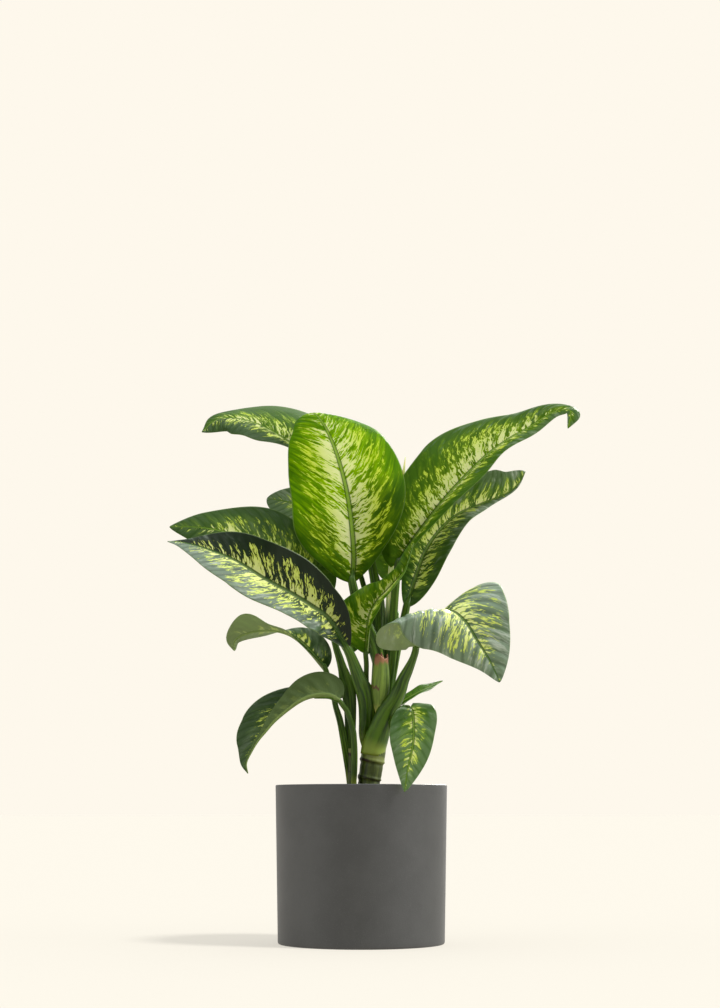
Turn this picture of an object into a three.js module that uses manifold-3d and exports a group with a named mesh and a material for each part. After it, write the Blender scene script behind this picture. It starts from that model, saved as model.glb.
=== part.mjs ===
// A potted dieffenbachia: a round ceramic planter, its soil, two canes, and the leaves that
// arch from them, each one a sheathing stalk with its variegated blade.
// Millimetres, +Z up. The origin is the centre of the pot's underside, and the plant is seen
// from the -Y side. Every leaf is a row of the table below: the stalk from the cane to the
// blade, the midrib that the blade is spread on, and how far and which way its halves spread.
import * as THREE from 'three';
import { mergeVertices } from 'three/addons/utils/BufferGeometryUtils.js';
import Module from 'manifold-3d';

const wasm = await Module();
wasm.setup();

// ---- driving dimensions -------------------------------------------------------------------

const gap = 0.35; // clearance between pieces that touch

const pot = {
  topRadius: 100,
  footRadius: 96,
  height: 180,
  wall: 5,
  floor: 6,
  edge: 1.2, // rounding of the rim and the foot
  drainRadius: 5,
  drainCircle: 45, // radius of the circle that the four drain holes lie on
  corner: 7, // rounding of the corner inside, where wall and floor meet
};

const soil = {
  level: 165, // mean height of the surface
  crumb: 2.2, // how far lumps rise and sink
  mound: 4, // how much it rises to the canes
  moundRadius: 30,
  rings: [12, 26, 42, 58, 74, 86], // radii at which the surface is shaped
  // the lumps are three waves: how fast each turns along x and y, where it starts, its share
  waves: [[0.21, 0.17, 1.3, 0.5], [0.43, 0.43, 0, 0.3], [0.31, -0.53, 1.6, 0.25]],
};

const blade = {
  thickness: 1.2,
  keelDepth: 3.2, // how far the midrib stands out below the blade at its base
  overlap: 12, // how far along the midrib the stalk is joined to the blade
  columns: [0, 0.09, 0.36, 0.7, 1], // lines from the midrib to the margin, as shares of the half
  rowLength: 18, // distance between rows across the midrib
  rows: [8, 14], // fewest and most rows
  lobeReach: 0.16, // share of the midrib along which the lobes at the base lean back
  waveLag: 0.37, // how far the right margin's waves lag behind the left one's, in waves
};

// One row per leaf. stalk and rib are points along the stalk and the midrib, from the cane to the
// tip; girth is the stalk's radius. The other lists run from the blade's base to its tip, and where
// there are two, the first is for the left half: face is the way the upper face looks, half the width
// of a half, outline how fast it widens and narrows, fold and curl the angles at which it leaves the
// midrib and bends on to the margin. lobe is how far the base leans back, and wave the margin's
// waves: height, number, start.
const leaves = [
  {
    name: 'leaf_upright',
    stalk: [[19, 3, 240], [20, 9, 270], [21, 13, 301], [19, 12, 335], [10, 9, 362], [-3, 4, 388]],
    girth: [7, 6.5, 6, 6, 6, 6, 5],
    rib: [[-11, -2, 419], [-9, -2, 450], [-13, 2, 500], [-20, 8, 541], [-32, 20, 584],
      [-47, 38, 620], [-60, 56, 637], [-67, 84, 639]],
    face: [[0, -1, 0.05], [0.05, -1, 0.15], [0, -0.9, 0.4], [-0.1, -0.2, 1]],
    half: [[75, 77, 68, 69, 72, 60], [25, 57, 73, 77, 82, 30]],
    outline: [0.55, 0.8],
    fold: [[30, 10, 0, -10], [28, 10, 0, -15]],
    curl: [-20, -25],
    lobe: 2,
    wave: [2, 3, 0.1],
  },
  {
    name: 'leaf_top_left',
    stalk: [[18, 4, 240], [18, 14, 262], [18, 24, 292], [19, 28, 343], [14, 42, 436], [-10, 60, 510]],
    girth: [6, 6, 5, 5, 4, 3],
    rib: [[-46, 72, 577], [-69, 73, 590], [-89, 73, 603], [-114, 72, 619], [-139, 68, 629],
      [-161, 62, 632], [-180, 56, 628], [-197, 47, 611]],
    face: [[0.1, -0.6, 0.8], [0.1, -0.6, 0.8], [-0.1, -0.6, 0.8]],
    half: [[5, 10, 27, 44, 54, 70], [80, 85, 85, 61, 41, 22]],
    outline: [0.6, 0.85],
    fold: [[15, 5, -10], [25, 10, 0]],
    curl: [-15, -25],
    lobe: 6,
    wave: [1.5, 3, 0.3],
  },
  {
    name: 'leaf_top_right',
    stalk: [[17, 3, 232], [24, 9, 252], [31, 14, 291], [37, 15, 341], [39, 12, 391]],
    girth: [7, 6, 5.5, 5, 4.5],
    rib: [[44, 10, 441], [61, 12, 468], [79, 16, 493], [100, 22, 521], [126, 28, 551],
      [153, 36, 579], [181, 42, 601], [209, 46, 618], [233, 46, 634], [249, 42, 638], [258, 37, 634],
      [253, 31, 612]],
    face: [[-0.2, -1, 0.2], [-0.2, -1, 0.3], [-0.3, -0.8, 0.5], [0.2, -0.8, 0.6]],
    half: [[60, 65, 73, 100, 82, 50], [40, 35, 38, 26, 23, 20]],
    outline: [0.5, 0.85],
    fold: [[10, 0, -20], [70, 50, 20, -20]],
    curl: [-20, -10],
    lobe: 8,
    wave: [1.5, 4, 0.5],
  },
  {
    name: 'leaf_right',
    stalk: [[16, 3, 222], [25, 9, 250], [33, 16, 291], [43, 20, 342], [50, 22, 372]],
    girth: [7, 6.5, 5.5, 5, 4.5],
    rib: [[55, 24, 395], [66, 32, 429], [78, 40, 461], [96, 48, 488], [119, 54, 509], [149, 58, 523],
      [177, 60, 535], [193, 60, 547], [203, 58, 564]],
    face: [[-0.2, -1, 0.2], [-0.1, -1, 0.4], [0.2, -1, 0.3], [0.4, -1, 0]],
    half: [[20, 28, 38, 80], [34, 36, 32, 26, 8, 5]],
    outline: [0.55, 0.7],
    fold: [[30, 25, 20, 0], [20, 30, 50, 20]],
    curl: [-20, -20],
    lobe: 4,
    wave: [1.5, 3, 0.2],
  },
  {
    name: 'leaf_right_drooping',
    stalk: [[13, 0, 215], [15, -1, 226], [20, -3, 240], [26, -6, 255], [32, -8, 267], [39, -11, 278],
      [45, -14, 290], [49, -17, 301], [55, -21, 313], [60, -26, 324], [63, -31, 333]],
    girth: [14.9, 14.4, 12.6, 11.3, 9.2, 7.8, 6.2, 4.4, 4],
    rib: [[64, -36, 339], [72, -48, 352], [85, -64, 367], [101, -80, 375], [117, -94, 362],
      [130, -102, 340], [144, -106, 316], [155, -106, 292]],
    face: [[-0.2, 0, 1], [-0.3, -0.2, 1], [-0.3, -0.8, 0.5], [0, -1, 0.2]],
    half: [[5, 75, 70, 58, 56, 46], [95, 97, 87, 60, 44, 30]],
    outline: [0.4, 0.75],
    fold: [[20, 0], [0, 30, 20]],
    curl: [[0, -20], [0, -32, -70, -90]],
    lobe: 4,
    wave: [1.5, 2, 0.2],
  },
  {
    name: 'leaf_centre',
    stalk: [[13, 2, 253], [8, 4, 279], [6, 2, 303], [6, -2, 321]],
    girth: [4, 3.5, 3, 3, 3],
    rib: [[5, -8, 333], [7, -14, 357], [10, -18, 377], [19, -21, 394], [30, -24, 405],
      [41, -26, 417], [51, -27, 430], [62, -26, 462]],
    face: [[0, -1, 0.1], [-0.3, -1, 0.3], [-0.5, -1, 0.4]],
    half: [[18, 47, 28, 15, 16, 26], [7, 7, 32, 45, 18, 28]],
    outline: [0.45, 0.7],
    fold: [[30, 30], [55, 55]],
    curl: [-15, 0],
    lobe: 0,
    wave: [1, 3, 0.2],
  },
  {
    name: 'leaf_left',
    stalk: [[8, 0, 223], [5, -3, 238], [6, -4, 255], [6, -6, 273], [3, -10, 288], [-2, -14, 301],
      [-7, -18, 315], [-12, -23, 328]],
    girth: [7, 8, 9, 9.6, 9.4, 8, 6.5, 5.2],
    rib: [[-16, -26, 336], [-36, -38, 368], [-56, -48, 383], [-82, -60, 398], [-111, -70, 413],
      [-144, -78, 433], [-178, -84, 446], [-206, -88, 453], [-222, -90, 454]],
    face: [[-0.2, -1, 0.4], [-0.2, -1, 0.4], [-0.3, -1, 0.8]],
    half: [[10, 38, 43, 57, 88, 85], [20, 32, 45, 50, 53, 10]],
    outline: [0.5, 1],
    fold: [[40, 36, 20], [20, 8, 0]],
    curl: [-5, 10],
    lobe: 0,
    wave: [1, 3, 0.2],
  },
  {
    name: 'leaf_left_upper',
    stalk: [[-11, -6, 183], [-12, -4, 207], [-13, -2, 226], [-13, 0, 261], [-15, 0, 288],
      [-20, 0, 308], [-26, -1, 329], [-31, -2, 345]],
    girth: [4.6, 5.2, 5.6, 6.6, 7.6, 5, 3.6, 3.5, 3.5],
    rib: [[-45, 0, 400], [-72, 6, 437], [-105, 10, 459], [-146, 14, 476], [-189, 14, 486],
      [-231, 12, 487]],
    face: [[0.2, -1, 0.4], [0.1, -1, 0.5], [0, -1, 0.5]],
    half: [[40, 52, 42], [45, 48, 50, 58, 42, 40]],
    outline: [0.55, 0.8],
    fold: [[10, 5, 0], [15, 5, 0]],
    curl: [-15, -15],
    lobe: 6,
    wave: [3, 2.6, 0.75],
  },
  {
    name: 'leaf_back_small',
    stalk: [[18, 4, 236], [18, 14, 254], [20, 26, 290], [18, 36, 345], [-2, 46, 436]],
    girth: [5, 4, 3.5, 3.2, 2.6],
    rib: [[-31, 54, 488], [-53, 60, 510], [-80, 66, 524], [-117, 70, 532]],
    face: [[0.2, -1, 0.3], [0.2, -1, 0.5], [0.2, -0.8, 0.7]],
    half: [[30, 32, 34], [30, 34, 34]],
    outline: [0.5, 0.55],
    fold: [[10, 5, 0], [10, 5, 0]],
    curl: [-10, -10],
    lobe: 2,
    wave: [1, 2, 0],
  },
  {
    name: 'leaf_low_left_twisted',
    stalk: [[-13, -6, 180], [-15, -7, 197], [-18, -8, 215], [-21, -8, 232], [-25, -8, 253],
      [-30, -7, 271], [-34, -5, 290]],
    girth: [3.6, 3.8, 3.8, 3.6, 3.4, 3.2, 3.2],
    rib: [[-43, -2, 317], [-60, -8, 336], [-77, -14, 351], [-94, -18, 358], [-114, -22, 359],
      [-133, -26, 355], [-147, -28, 347], [-148, -30, 334]],
    face: [[0.5, -1, 0.4], [0.3, -1, 0.5], [0, 0.1, 1], [0, 0.9, 0.6], [0, 1, 0.2]],
    half: [[8, 5, 5, 9, 30, 8], [42, 30, 17, 13, 10, 8]],
    outline: [0.5, 0.5],
    fold: [[45, 15, 0], [10, 10, 5]],
    curl: [0, 0],
    lobe: 3,
    wave: [1, 2, 0.2],
  },
  {
    name: 'leaf_low_left_arching',
    stalk: [[-9, -10, 177], [-8, -13, 195], [-8, -15, 218], [-9, -17, 237], [-12, -19, 252],
      [-17, -21, 265], [-22, -24, 272]],
    girth: [3.8, 3.9, 3.9, 3.7, 3.5, 3.2, 3],
    rib: [[-26, -25, 277], [-40, -30, 283], [-58, -34, 281], [-72, -38, 275], [-88, -42, 263],
      [-101, -46, 251], [-110, -49, 240], [-118, -51, 230], [-125, -53, 218], [-131, -54, 204],
      [-129, -54, 192]],
    face: [[0.2, 0.1, 1], [-0.3, 0.1, 1], [-0.75, -0.1, 0.6], [-0.9, -0.2, 0.4]],
    half: [[42, 31, 16, 8, 5, 3], [10, 22, 38, 46, 41, 12]],
    outline: [0.45, 0.65],
    fold: [[95, 90, 80, 70, 60], [40, 45, 50, 45, 35]],
    curl: [0, 0],
    lobe: 4,
    wave: [1, 2, 0.2],
  },
  {
    name: 'leaf_low_right_hanging',
    stalk: [[22, 0, 238], [32, -9, 247], [38, -24, 258], [46, -46, 267]],
    girth: [4, 3.2, 2.8, 2.6, 2.4],
    rib: [[54, -62, 267], [58, -76, 260], [59, -90, 238], [57, -96, 219], [52, -98, 198],
      [48, -98, 171]],
    face: [[0, -0.3, 1], [0.1, -1, 0.3], [0.1, -1, 0.1]],
    half: [[30, 28, 24, 24, 25, 20], [8, 23, 28, 28, 21, 14]],
    outline: [0.3, 0.7],
    fold: [[10, 8, 5], [10, 8, 5]],
    curl: [-15, -15],
    lobe: 10,
    wave: [1, 2, 0.2],
  },
  {
    name: 'leaf_low_right_narrow',
    stalk: [[20, 2, 236], [27, 8, 252], [36, 10, 266]],
    girth: [3.6, 3.2, 2.8, 2.4],
    rib: [[45, 8, 275], [57, 14, 283], [71, 26, 291], [84, 42, 298], [99, 62, 306]],
    face: [[0, -0.2, 1], [0, -0.2, 1]],
    half: [8, 5],
    outline: [0.5, 0.9],
    fold: [[35, 30], [-10, -10]],
    curl: [0, 0],
    lobe: 3,
    wave: [1, 2, 0.2],
  },
  {
    name: 'leaf_back_upper',
    stalk: [[19, 4, 240], [21, 14, 260], [25, 28, 300], [26, 40, 350], [23, 50, 410]],
    girth: [6, 5, 4.5, 4, 3.5],
    rib: [[9, 59, 460], [6, 72, 480], [0, 98, 512], [-10, 132, 534], [-19, 168, 536], [-26, 200, 520]],
    face: [[0, -0.6, 0.8], [0, -0.3, 1], [0, 0.2, 1]],
    half: [[46, 52, 54, 50], [46, 52, 54, 50]],
    outline: [0.5, 0.8],
    fold: [[20, 8, 0], [20, 8, 0]],
    curl: [-20, -20],
    lobe: 6,
    wave: [2, 3, 0.2],
  },
  {
    name: 'leaf_back_right',
    stalk: [[17, 4, 228], [24, 12, 246], [32, 26, 290], [37, 38, 340], [40, 50, 395]],
    girth: [6, 5, 4.5, 4, 3.5],
    rib: [[44, 58, 430], [52, 76, 458], [66, 102, 490], [84, 132, 510], [100, 162, 514],
      [114, 188, 498]],
    face: [[-0.4, -0.4, 0.8], [-0.2, -0.2, 1], [0.2, 0.2, 1]],
    half: [[42, 50, 50, 46], [42, 50, 50, 46]],
    outline: [0.5, 0.8],
    fold: [[20, 8, 0], [20, 8, 0]],
    curl: [-20, -20],
    lobe: 6,
    wave: [2, 3, 0.6],
  },
  {
    name: 'leaf_back_left',
    stalk: [[15, 3, 230], [9, 9, 250], [3, 18, 280], [-5, 24, 310]],
    girth: [6, 5, 4.5, 3.5],
    rib: [[-15, 29, 342], [-28, 44, 374], [-52, 72, 408], [-86, 106, 436], [-122, 142, 456],
      [-156, 176, 458]],
    face: [[0.4, -0.4, 0.8], [0.2, -0.2, 1], [-0.2, 0.2, 1]],
    half: [[38, 46, 48, 44], [38, 46, 48, 44]],
    outline: [0.5, 0.8],
    fold: [[20, 8, 0], [20, 8, 0]],
    curl: [-20, -20],
    lobe: 6,
    wave: [2, 3, 0.4],
  },
  {
    name: 'leaf_back_low',
    stalk: [[16, 4, 228], [17, 13, 248], [19, 26, 284], [18, 38, 320]],
    girth: [5.5, 5, 4.5, 3.5],
    rib: [[12, 48, 342], [11, 66, 368], [9, 98, 392], [8, 136, 402], [8, 170, 394], [9, 198, 370]],
    face: [[0, -0.4, 0.8], [0, 0.1, 1], [0, 0.5, 0.8]],
    half: [[32, 38, 40, 34], [32, 38, 40, 34]],
    outline: [0.5, 0.8],
    fold: [[20, 8, 0], [20, 8, 0]],
    curl: [-20, -20],
    lobe: 6,
    wave: [1.5, 3, 0.8],
  },
];

const scar = { height: 1.3, width: 2.2 }; // how far a leaf scar stands out, and how broad it is
const stemTip = 0.3; // how far a stem's rounded end goes on, as a share of its radius there

// Other grown pieces, from foot to tip: the canes, the new leaf still rolled up, and the
// sheath of a leaf that has withered away.
const stems = {
  main_cane: {
    path: [[8, 0, 60], [8, 0, 130], [9, 0, 180], [11, 0, 194], [13, 0, 208], [16, 0, 226],
      [19, 1, 248], [21, 2, 270]],
    girth: [9, 11.5, 12.8, 13, 13, 13.2, 14, 11, 7],
    rings: [188, 208], // heights of the leaf scars
  },
  side_cane: {
    path: [[-11, -7, 90], [-11, -7, 150], [-11, -7, 185], [-12, -6, 222]],
    girth: [5.4, 5.8, 5.8, 4.5],
    rings: [174],
  },
  rolled_leaf: {
    path: [[23, 11, 262], [27, 20, 301], [30, 26, 353], [35, 31, 409], [40, 39, 457],
      [48, 57, 524], [55, 74, 585]],
    girth: [5, 4, 4, 5, 5.5, 4, 0.5],
    rings: [],
  },
  spent_sheath: {
    path: [[19, -7, 260], [21, -8, 273], [22, -9, 290], [23, -10, 308], [24, -10, 335]],
    girth: [2, 7.5, 10.3, 10, 8.3, 7],
    rings: [296],
  },
};

// ---- curves and meshes --------------------------------------------------------------------

const vector = (p) => new THREE.Vector3(...p);

// one smooth curve through a list of points
const curveThrough = (points) => new THREE.CatmullRomCurve3(points.map(vector), false, 'catmullrom', 0.5);

// the smooth value at u, from 0 to 1, through numbers or vectors spread evenly
function along(values, u) {
  if (!Array.isArray(values)) return values;
  const isVector = Array.isArray(values[0]);
  const curve = curveThrough(isVector ? values : values.map((value) => [value, 0, 0]));
  const point = curve.getPoint(u);
  return isVector ? point : point.x;
}

// a closed mesh from points and the triangles between them
function closedMesh(points, triangles) {
  const geometry = new THREE.BufferGeometry();
  geometry.setAttribute('position', new THREE.Float32BufferAttribute(points.flatMap((p) => p.toArray()), 3));
  geometry.setIndex(triangles.flat());
  return geometry;
}

// rings of points, each one loop, joined to the next and capped with a point at both ends
function loft(rings, footPoint, tipPoint) {
  const sides = rings[0].length;
  const points = [footPoint, ...rings.flat(), tipPoint];
  const last = points.length - 1;
  const triangles = [];
  for (let side = 0; side < sides; side++) {
    const next = (side + 1) % sides;
    triangles.push([0, 1 + next, 1 + side]);
    for (let ring = 0; ring < rings.length - 1; ring++) {
      const low = 1 + ring * sides;
      const high = low + sides;
      triangles.push([low + side, low + next, high + next]);
      triangles.push([low + side, high + next, high + side]);
    }
    triangles.push([last, last - sides + side, last - sides + next]);
  }
  return closedMesh(points, triangles);
}

// a tapered stem of round section along a path, thicker by grow all round
function stem(path, girth, { step = 18, sides = 8, rings = [], grow = 0 } = {}) {
  const curve = curveThrough(path);
  const steps = Math.max(4, Math.round(curve.getLength() / step));
  const frames = curve.computeFrenetFrames(steps, false);
  const stations = [...Array(steps + 1).keys()].map((index) => index / steps);
  const scarAt = (height, ring) => scar.height * Math.exp(-(((height - ring) / scar.width) ** 2));
  const swell = (height) => rings.reduce((sum, ring) => sum + scarAt(height, ring), 0);
  const loops = stations.map((u, index) => {
    const centre = curve.getPointAt(u);
    const radius = along(girth, u) + swell(centre.z) + grow;
    return [...Array(sides).keys()].map((side) => {
      const angle = (side / sides) * 2 * Math.PI;
      return centre.clone()
        .addScaledVector(frames.normals[index], radius * Math.cos(angle))
        .addScaledVector(frames.binormals[index], radius * Math.sin(angle));
    });
  });
  const foot = curve.getPointAt(0).addScaledVector(frames.tangents[0], -grow);
  const tip = curve.getPointAt(1).addScaledVector(frames.tangents[steps], grow + along(girth, 1) * stemTip);
  return loft(loops, foot, tip);
}

// ---- leaves -------------------------------------------------------------------------------

// share of the full half width at u: round at the base, drawn out to the tip, 1 at its widest
function outlineShare(u, [basePower, tipPower]) {
  const widest = basePower / (basePower + tipPower);
  const peak = widest ** basePower * (1 - widest) ** tipPower;
  return (u ** basePower * (1 - u) ** tipPower) / peak;
}

// the midrib's place and directions at u: along it, out of the upper face, and to the left
function ribFrame(leaf, rib, u) {
  const forward = rib.getTangentAt(u);
  const face = along(leaf.face, u);
  const up = face.addScaledVector(forward, -face.dot(forward)).normalize();
  const left = new THREE.Vector3().crossVectors(up, forward);
  return { centre: rib.getPointAt(u), forward, up, left };
}

// the point of the blade's middle surface at u along the midrib and share out to one margin
function bladePoint(leaf, frame, u, share, side) {
  const half = side > 0 ? 0 : 1;
  const width = along(leaf.half[half], u) * outlineShare(u, leaf.outline) * share;
  const fold = THREE.MathUtils.degToRad(along(leaf.fold[half], u));
  const curl = THREE.MathUtils.degToRad(along(leaf.curl[half], u)) * share;
  const bent = Math.abs(curl) > 1e-3;
  const out = bent ? (width * (Math.sin(fold + curl) - Math.sin(fold))) / curl : width * Math.cos(fold);
  const rise = bent ? (width * (Math.cos(fold) - Math.cos(fold + curl))) / curl : width * Math.sin(fold);
  const [height, count, phase] = leaf.wave;
  const turn = count * u + phase + (half ? blade.waveLag : 0);
  const ripple = height * share ** 2 * Math.sin(2 * Math.PI * turn) * outlineShare(u, leaf.outline);
  const sweep = leaf.lobe * share ** 2 * Math.exp(-((u / blade.lobeReach) ** 2));
  return frame.centre.clone()
    .addScaledVector(frame.left, side * out)
    .addScaledVector(frame.up, rise + ripple)
    .addScaledVector(frame.forward, -sweep);
}

// the blade: an upper and a lower face with the same triangles, and a keel below the midrib
function bladeMesh(leaf) {
  const rib = curveThrough(leaf.rib);
  const rows = THREE.MathUtils.clamp(Math.round(rib.getLength() / blade.rowLength), ...blade.rows);
  const shares = [...blade.columns.slice(1).reverse().map((share) => -share), ...blade.columns];
  const grid = [];
  for (let row = 0; row <= rows; row++) {
    const u = THREE.MathUtils.clamp(row / rows, 1e-4, 1 - 1e-4);
    const frame = ribFrame(leaf, rib, u);
    grid.push(shares.map((share) => bladePoint(leaf, frame, u, Math.abs(share), share < 0 ? -1 : 1)));
  }
  const columns = shares.length;
  const points = [];
  const at = (row, column, face) => {
    if (row === 0) return face;
    if (row === rows) return 2 + face;
    return 4 + ((row - 1) * columns + column) * 2 + face;
  };
  const middle = (columns - 1) / 2;
  const normalAt = (row, column) => {
    const ahead = grid[Math.min(row + 1, rows)][column].clone().sub(grid[Math.max(row - 1, 0)][column]);
    const across = grid[row][Math.min(column + 1, columns - 1)].clone()
      .sub(grid[row][Math.max(column - 1, 0)]);
    return across.cross(ahead).normalize().negate();
  };
  const pair = (row, column) => {
    const inner = THREE.MathUtils.clamp(row, 1, rows - 1);
    const normal = normalAt(inner, column);
    const keel = column === middle ? blade.keelDepth * (1 - row / rows) ** 0.7 : 0;
    points.push(grid[row][column].clone().addScaledVector(normal, blade.thickness / 2));
    points.push(grid[row][column].clone().addScaledVector(normal, -blade.thickness / 2 - keel));
  };
  pair(0, middle);
  pair(rows, middle);
  for (let row = 1; row < rows; row++) {
    for (let column = 0; column < columns; column++) pair(row, column);
  }
  const triangles = [];
  for (let row = 0; row < rows; row++) {
    for (let column = 0; column < columns - 1; column++) {
      const corners = [[row, column], [row + 1, column], [row + 1, column + 1], [row, column + 1]];
      const [a, b, c, d] = corners.map(([r, q]) => at(r, q, 0));
      const [e, f, g, h] = corners.map(([r, q]) => at(r, q, 1));
      triangles.push([a, b, c], [a, c, d], [e, g, f], [e, h, g]);
    }
    for (const [edge, near, far] of [[0, 0, 1], [columns - 1, 1, 0]]) {
      const [a, b] = [at(row, edge, near), at(row, edge, far)];
      const [c, d] = [at(row + 1, edge, far), at(row + 1, edge, near)];
      triangles.push([a, b, c], [a, c, d]);
    }
  }
  // at the two ends all columns meet in one point, so a triangle there may have shrunk to a line
  return closedMesh(points, triangles.filter(([a, b, c]) => a !== b && b !== c && c !== a));
}

// the stalk's path: up from the cane, and on for a short way below the blade, where it is the midrib
function stalkPath(leaf) {
  const rib = curveThrough(leaf.rib);
  const { centre, up } = ribFrame(leaf, rib, blade.overlap / rib.getLength());
  const under = centre.addScaledVector(up, -0.8 * leaf.girth.at(-1));
  return [...leaf.stalk, leaf.rib[0], under.toArray()];
}

// ---- solids -------------------------------------------------------------------------------

// a closed mesh as a solid that can be joined and cut
function solid(geometry) {
  const plain = geometry.clone();
  plain.deleteAttribute('normal');
  plain.deleteAttribute('uv');
  const merged = mergeVertices(plain, 1e-4);
  return new wasm.Manifold(new wasm.Mesh({
    numProp: 3,
    vertProperties: new Float32Array(merged.attributes.position.array),
    triVerts: new Uint32Array(merged.index.array),
  }));
}

// the largest body of a solid, as a geometry with flat faces
function geometryOf(body) {
  const largest = body.decompose().sort((a, b) => b.volume() - a.volume())[0];
  const { vertProperties, triVerts } = largest.getMesh();
  const geometry = new THREE.BufferGeometry();
  geometry.setAttribute('position', new THREE.BufferAttribute(new Float32Array(vertProperties), 3));
  geometry.setIndex(new THREE.BufferAttribute(new Uint32Array(triVerts), 1));
  geometry.computeVertexNormals();
  return geometry;
}

// ---- pot and soil -------------------------------------------------------------------------

// radius of the pot's outside at a height
const potRadius = (z) => THREE.MathUtils.mapLinear(z, 0, pot.height, pot.footRadius, pot.topRadius);

// a turned solid from its outline, from the axis at the bottom to the axis at the top
function turned(outline, segments) {
  const geometry = new THREE.LatheGeometry(outline.map(([r, z]) => new THREE.Vector2(r, z)), segments);
  return geometry.rotateX(Math.PI / 2);
}

// an upright cylinder at x, y, between two heights
function upright(radius, low, high, x, y) {
  const geometry = new THREE.CylinderGeometry(radius, radius, high - low, 20);
  return geometry.rotateX(Math.PI / 2).translate(x, y, (low + high) / 2);
}

function makePot() {
  const { height, wall, floor, edge, corner, footRadius, drainCircle, drainRadius } = pot;
  const inside = (z) => potRadius(z) - wall;
  let body = solid(turned([
    [0, 0],
    [footRadius - edge * 2, 0],
    [footRadius - edge * 0.6, edge * 0.6],
    [potRadius(edge * 2), edge * 2],
    [potRadius(height - edge), height - edge],
    [potRadius(height) - edge * 0.4, height - edge * 0.3],
    [potRadius(height) - edge, height],
    [inside(height) + edge, height],
    [inside(height) + edge * 0.3, height - edge * 0.3],
    [inside(height - edge), height - edge],
    [inside(floor + corner), floor + corner],
    [inside(floor) - corner * 0.3, floor + corner * 0.3],
    [inside(floor) - corner, floor],
    [0, floor],
  ], 56));
  for (let quarter = 0; quarter < 4; quarter++) {
    const angle = (quarter + 0.5) * (Math.PI / 2);
    const [x, y] = [drainCircle * Math.cos(angle), drainCircle * Math.sin(angle)];
    body = body.subtract(solid(upright(drainRadius, -1, floor + 1, x, y)));
  }
  return body;
}

// height of the soil's surface: lumps, and a low mound at the canes
function soilHeight(x, y) {
  const lump = ([alongX, alongY, start, share]) => share * Math.sin(x * alongX + y * alongY + start);
  const lumps = soil.waves.reduce((sum, wave) => sum + lump(wave), 0);
  const mound = Math.exp(-(x * x + y * y) / soil.moundRadius ** 2);
  return soil.level + soil.crumb * lumps + soil.mound * mound;
}

function makeSoil(canes) {
  const inside = (z) => potRadius(z) - pot.wall - gap;
  const outline = [
    [0, pot.floor + gap],
    [inside(pot.floor) - pot.corner - gap, pot.floor + gap],
    [inside(pot.floor + pot.corner) - gap, pot.floor + pot.corner + gap],
    [inside(soil.level), soil.level - soil.crumb],
    ...soil.rings.toReversed().map((radius) => [radius, soil.level]),
    [0, soil.level],
  ];
  const geometry = turned(outline, 32);
  const place = geometry.attributes.position;
  for (let index = 0; index < place.count; index++) {
    const onSurface = Math.abs(place.getZ(index) - soil.level) < 0.01;
    if (onSurface) place.setZ(index, soilHeight(place.getX(index), place.getY(index)));
  }
  return canes.reduce((body, cane) => body.subtract(cane), solid(geometry));
}

// ---- the plant ----------------------------------------------------------------------------

const potMaterial = new THREE.MeshStandardMaterial({ color: '#55554f', roughness: 0.6, metalness: 0 });
const soilMaterial = new THREE.MeshStandardMaterial({ color: '#3a2c20', roughness: 1, metalness: 0 });
const caneMaterial = new THREE.MeshStandardMaterial({ color: '#6d7f3c', roughness: 0.6, metalness: 0 });
const leafMaterial = new THREE.MeshStandardMaterial({ color: '#4f7f1f', roughness: 0.4, metalness: 0 });
const huskMaterial = new THREE.MeshStandardMaterial({ color: '#8a9a4a', roughness: 0.7, metalness: 0 });
const rolledMaterial = new THREE.MeshStandardMaterial({ color: '#dfe7a8', roughness: 0.5, metalness: 0 });

const plant = new THREE.Group();

function add(name, body, material) {
  const mesh = new THREE.Mesh(geometryOf(body), material);
  mesh.name = name;
  plant.add(mesh);
}

const grown = (name, grow = 0) => {
  const { path, girth, rings } = stems[name];
  return solid(stem(path, girth, { step: rings.length ? 8 : 22, sides: 10, rings, grow }));
};

// what has been placed so far, each a little larger than it is: later pieces are cut by it
const placed = [];

function place(name, body, clearance, material) {
  const cut = placed.reduce((rest, other) => rest.subtract(other), body);
  add(name, cut, material);
  placed.push(clearance);
}

add('pot', makePot(), potMaterial);
add('soil', makeSoil([grown('main_cane', gap), grown('side_cane', gap)]), soilMaterial);
for (const name of ['main_cane', 'side_cane']) place(name, grown(name), grown(name, gap), caneMaterial);
place('spent_sheath', grown('spent_sheath'), grown('spent_sheath', gap), huskMaterial);
for (const leaf of leaves) {
  const path = stalkPath(leaf);
  const stalk = solid(stem(path, leaf.girth));
  const clearance = solid(stem(path, leaf.girth, { grow: gap }));
  place(leaf.name, stalk.add(solid(bladeMesh(leaf))), clearance, leafMaterial);
}
place('rolled_leaf', grown('rolled_leaf'), grown('rolled_leaf', gap), rolledMaterial);

export default plant;
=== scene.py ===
"""A potted dieffenbachia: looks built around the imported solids.

The solids are in metres, with the origin at the centre of the pot's underside and the plant
facing -Y. The leaves' shapes are the same rows that the solids are made from, in millimetres,
drawn here with many more points, with veins, midribs and grooved stalks.
"""
import math

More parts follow.
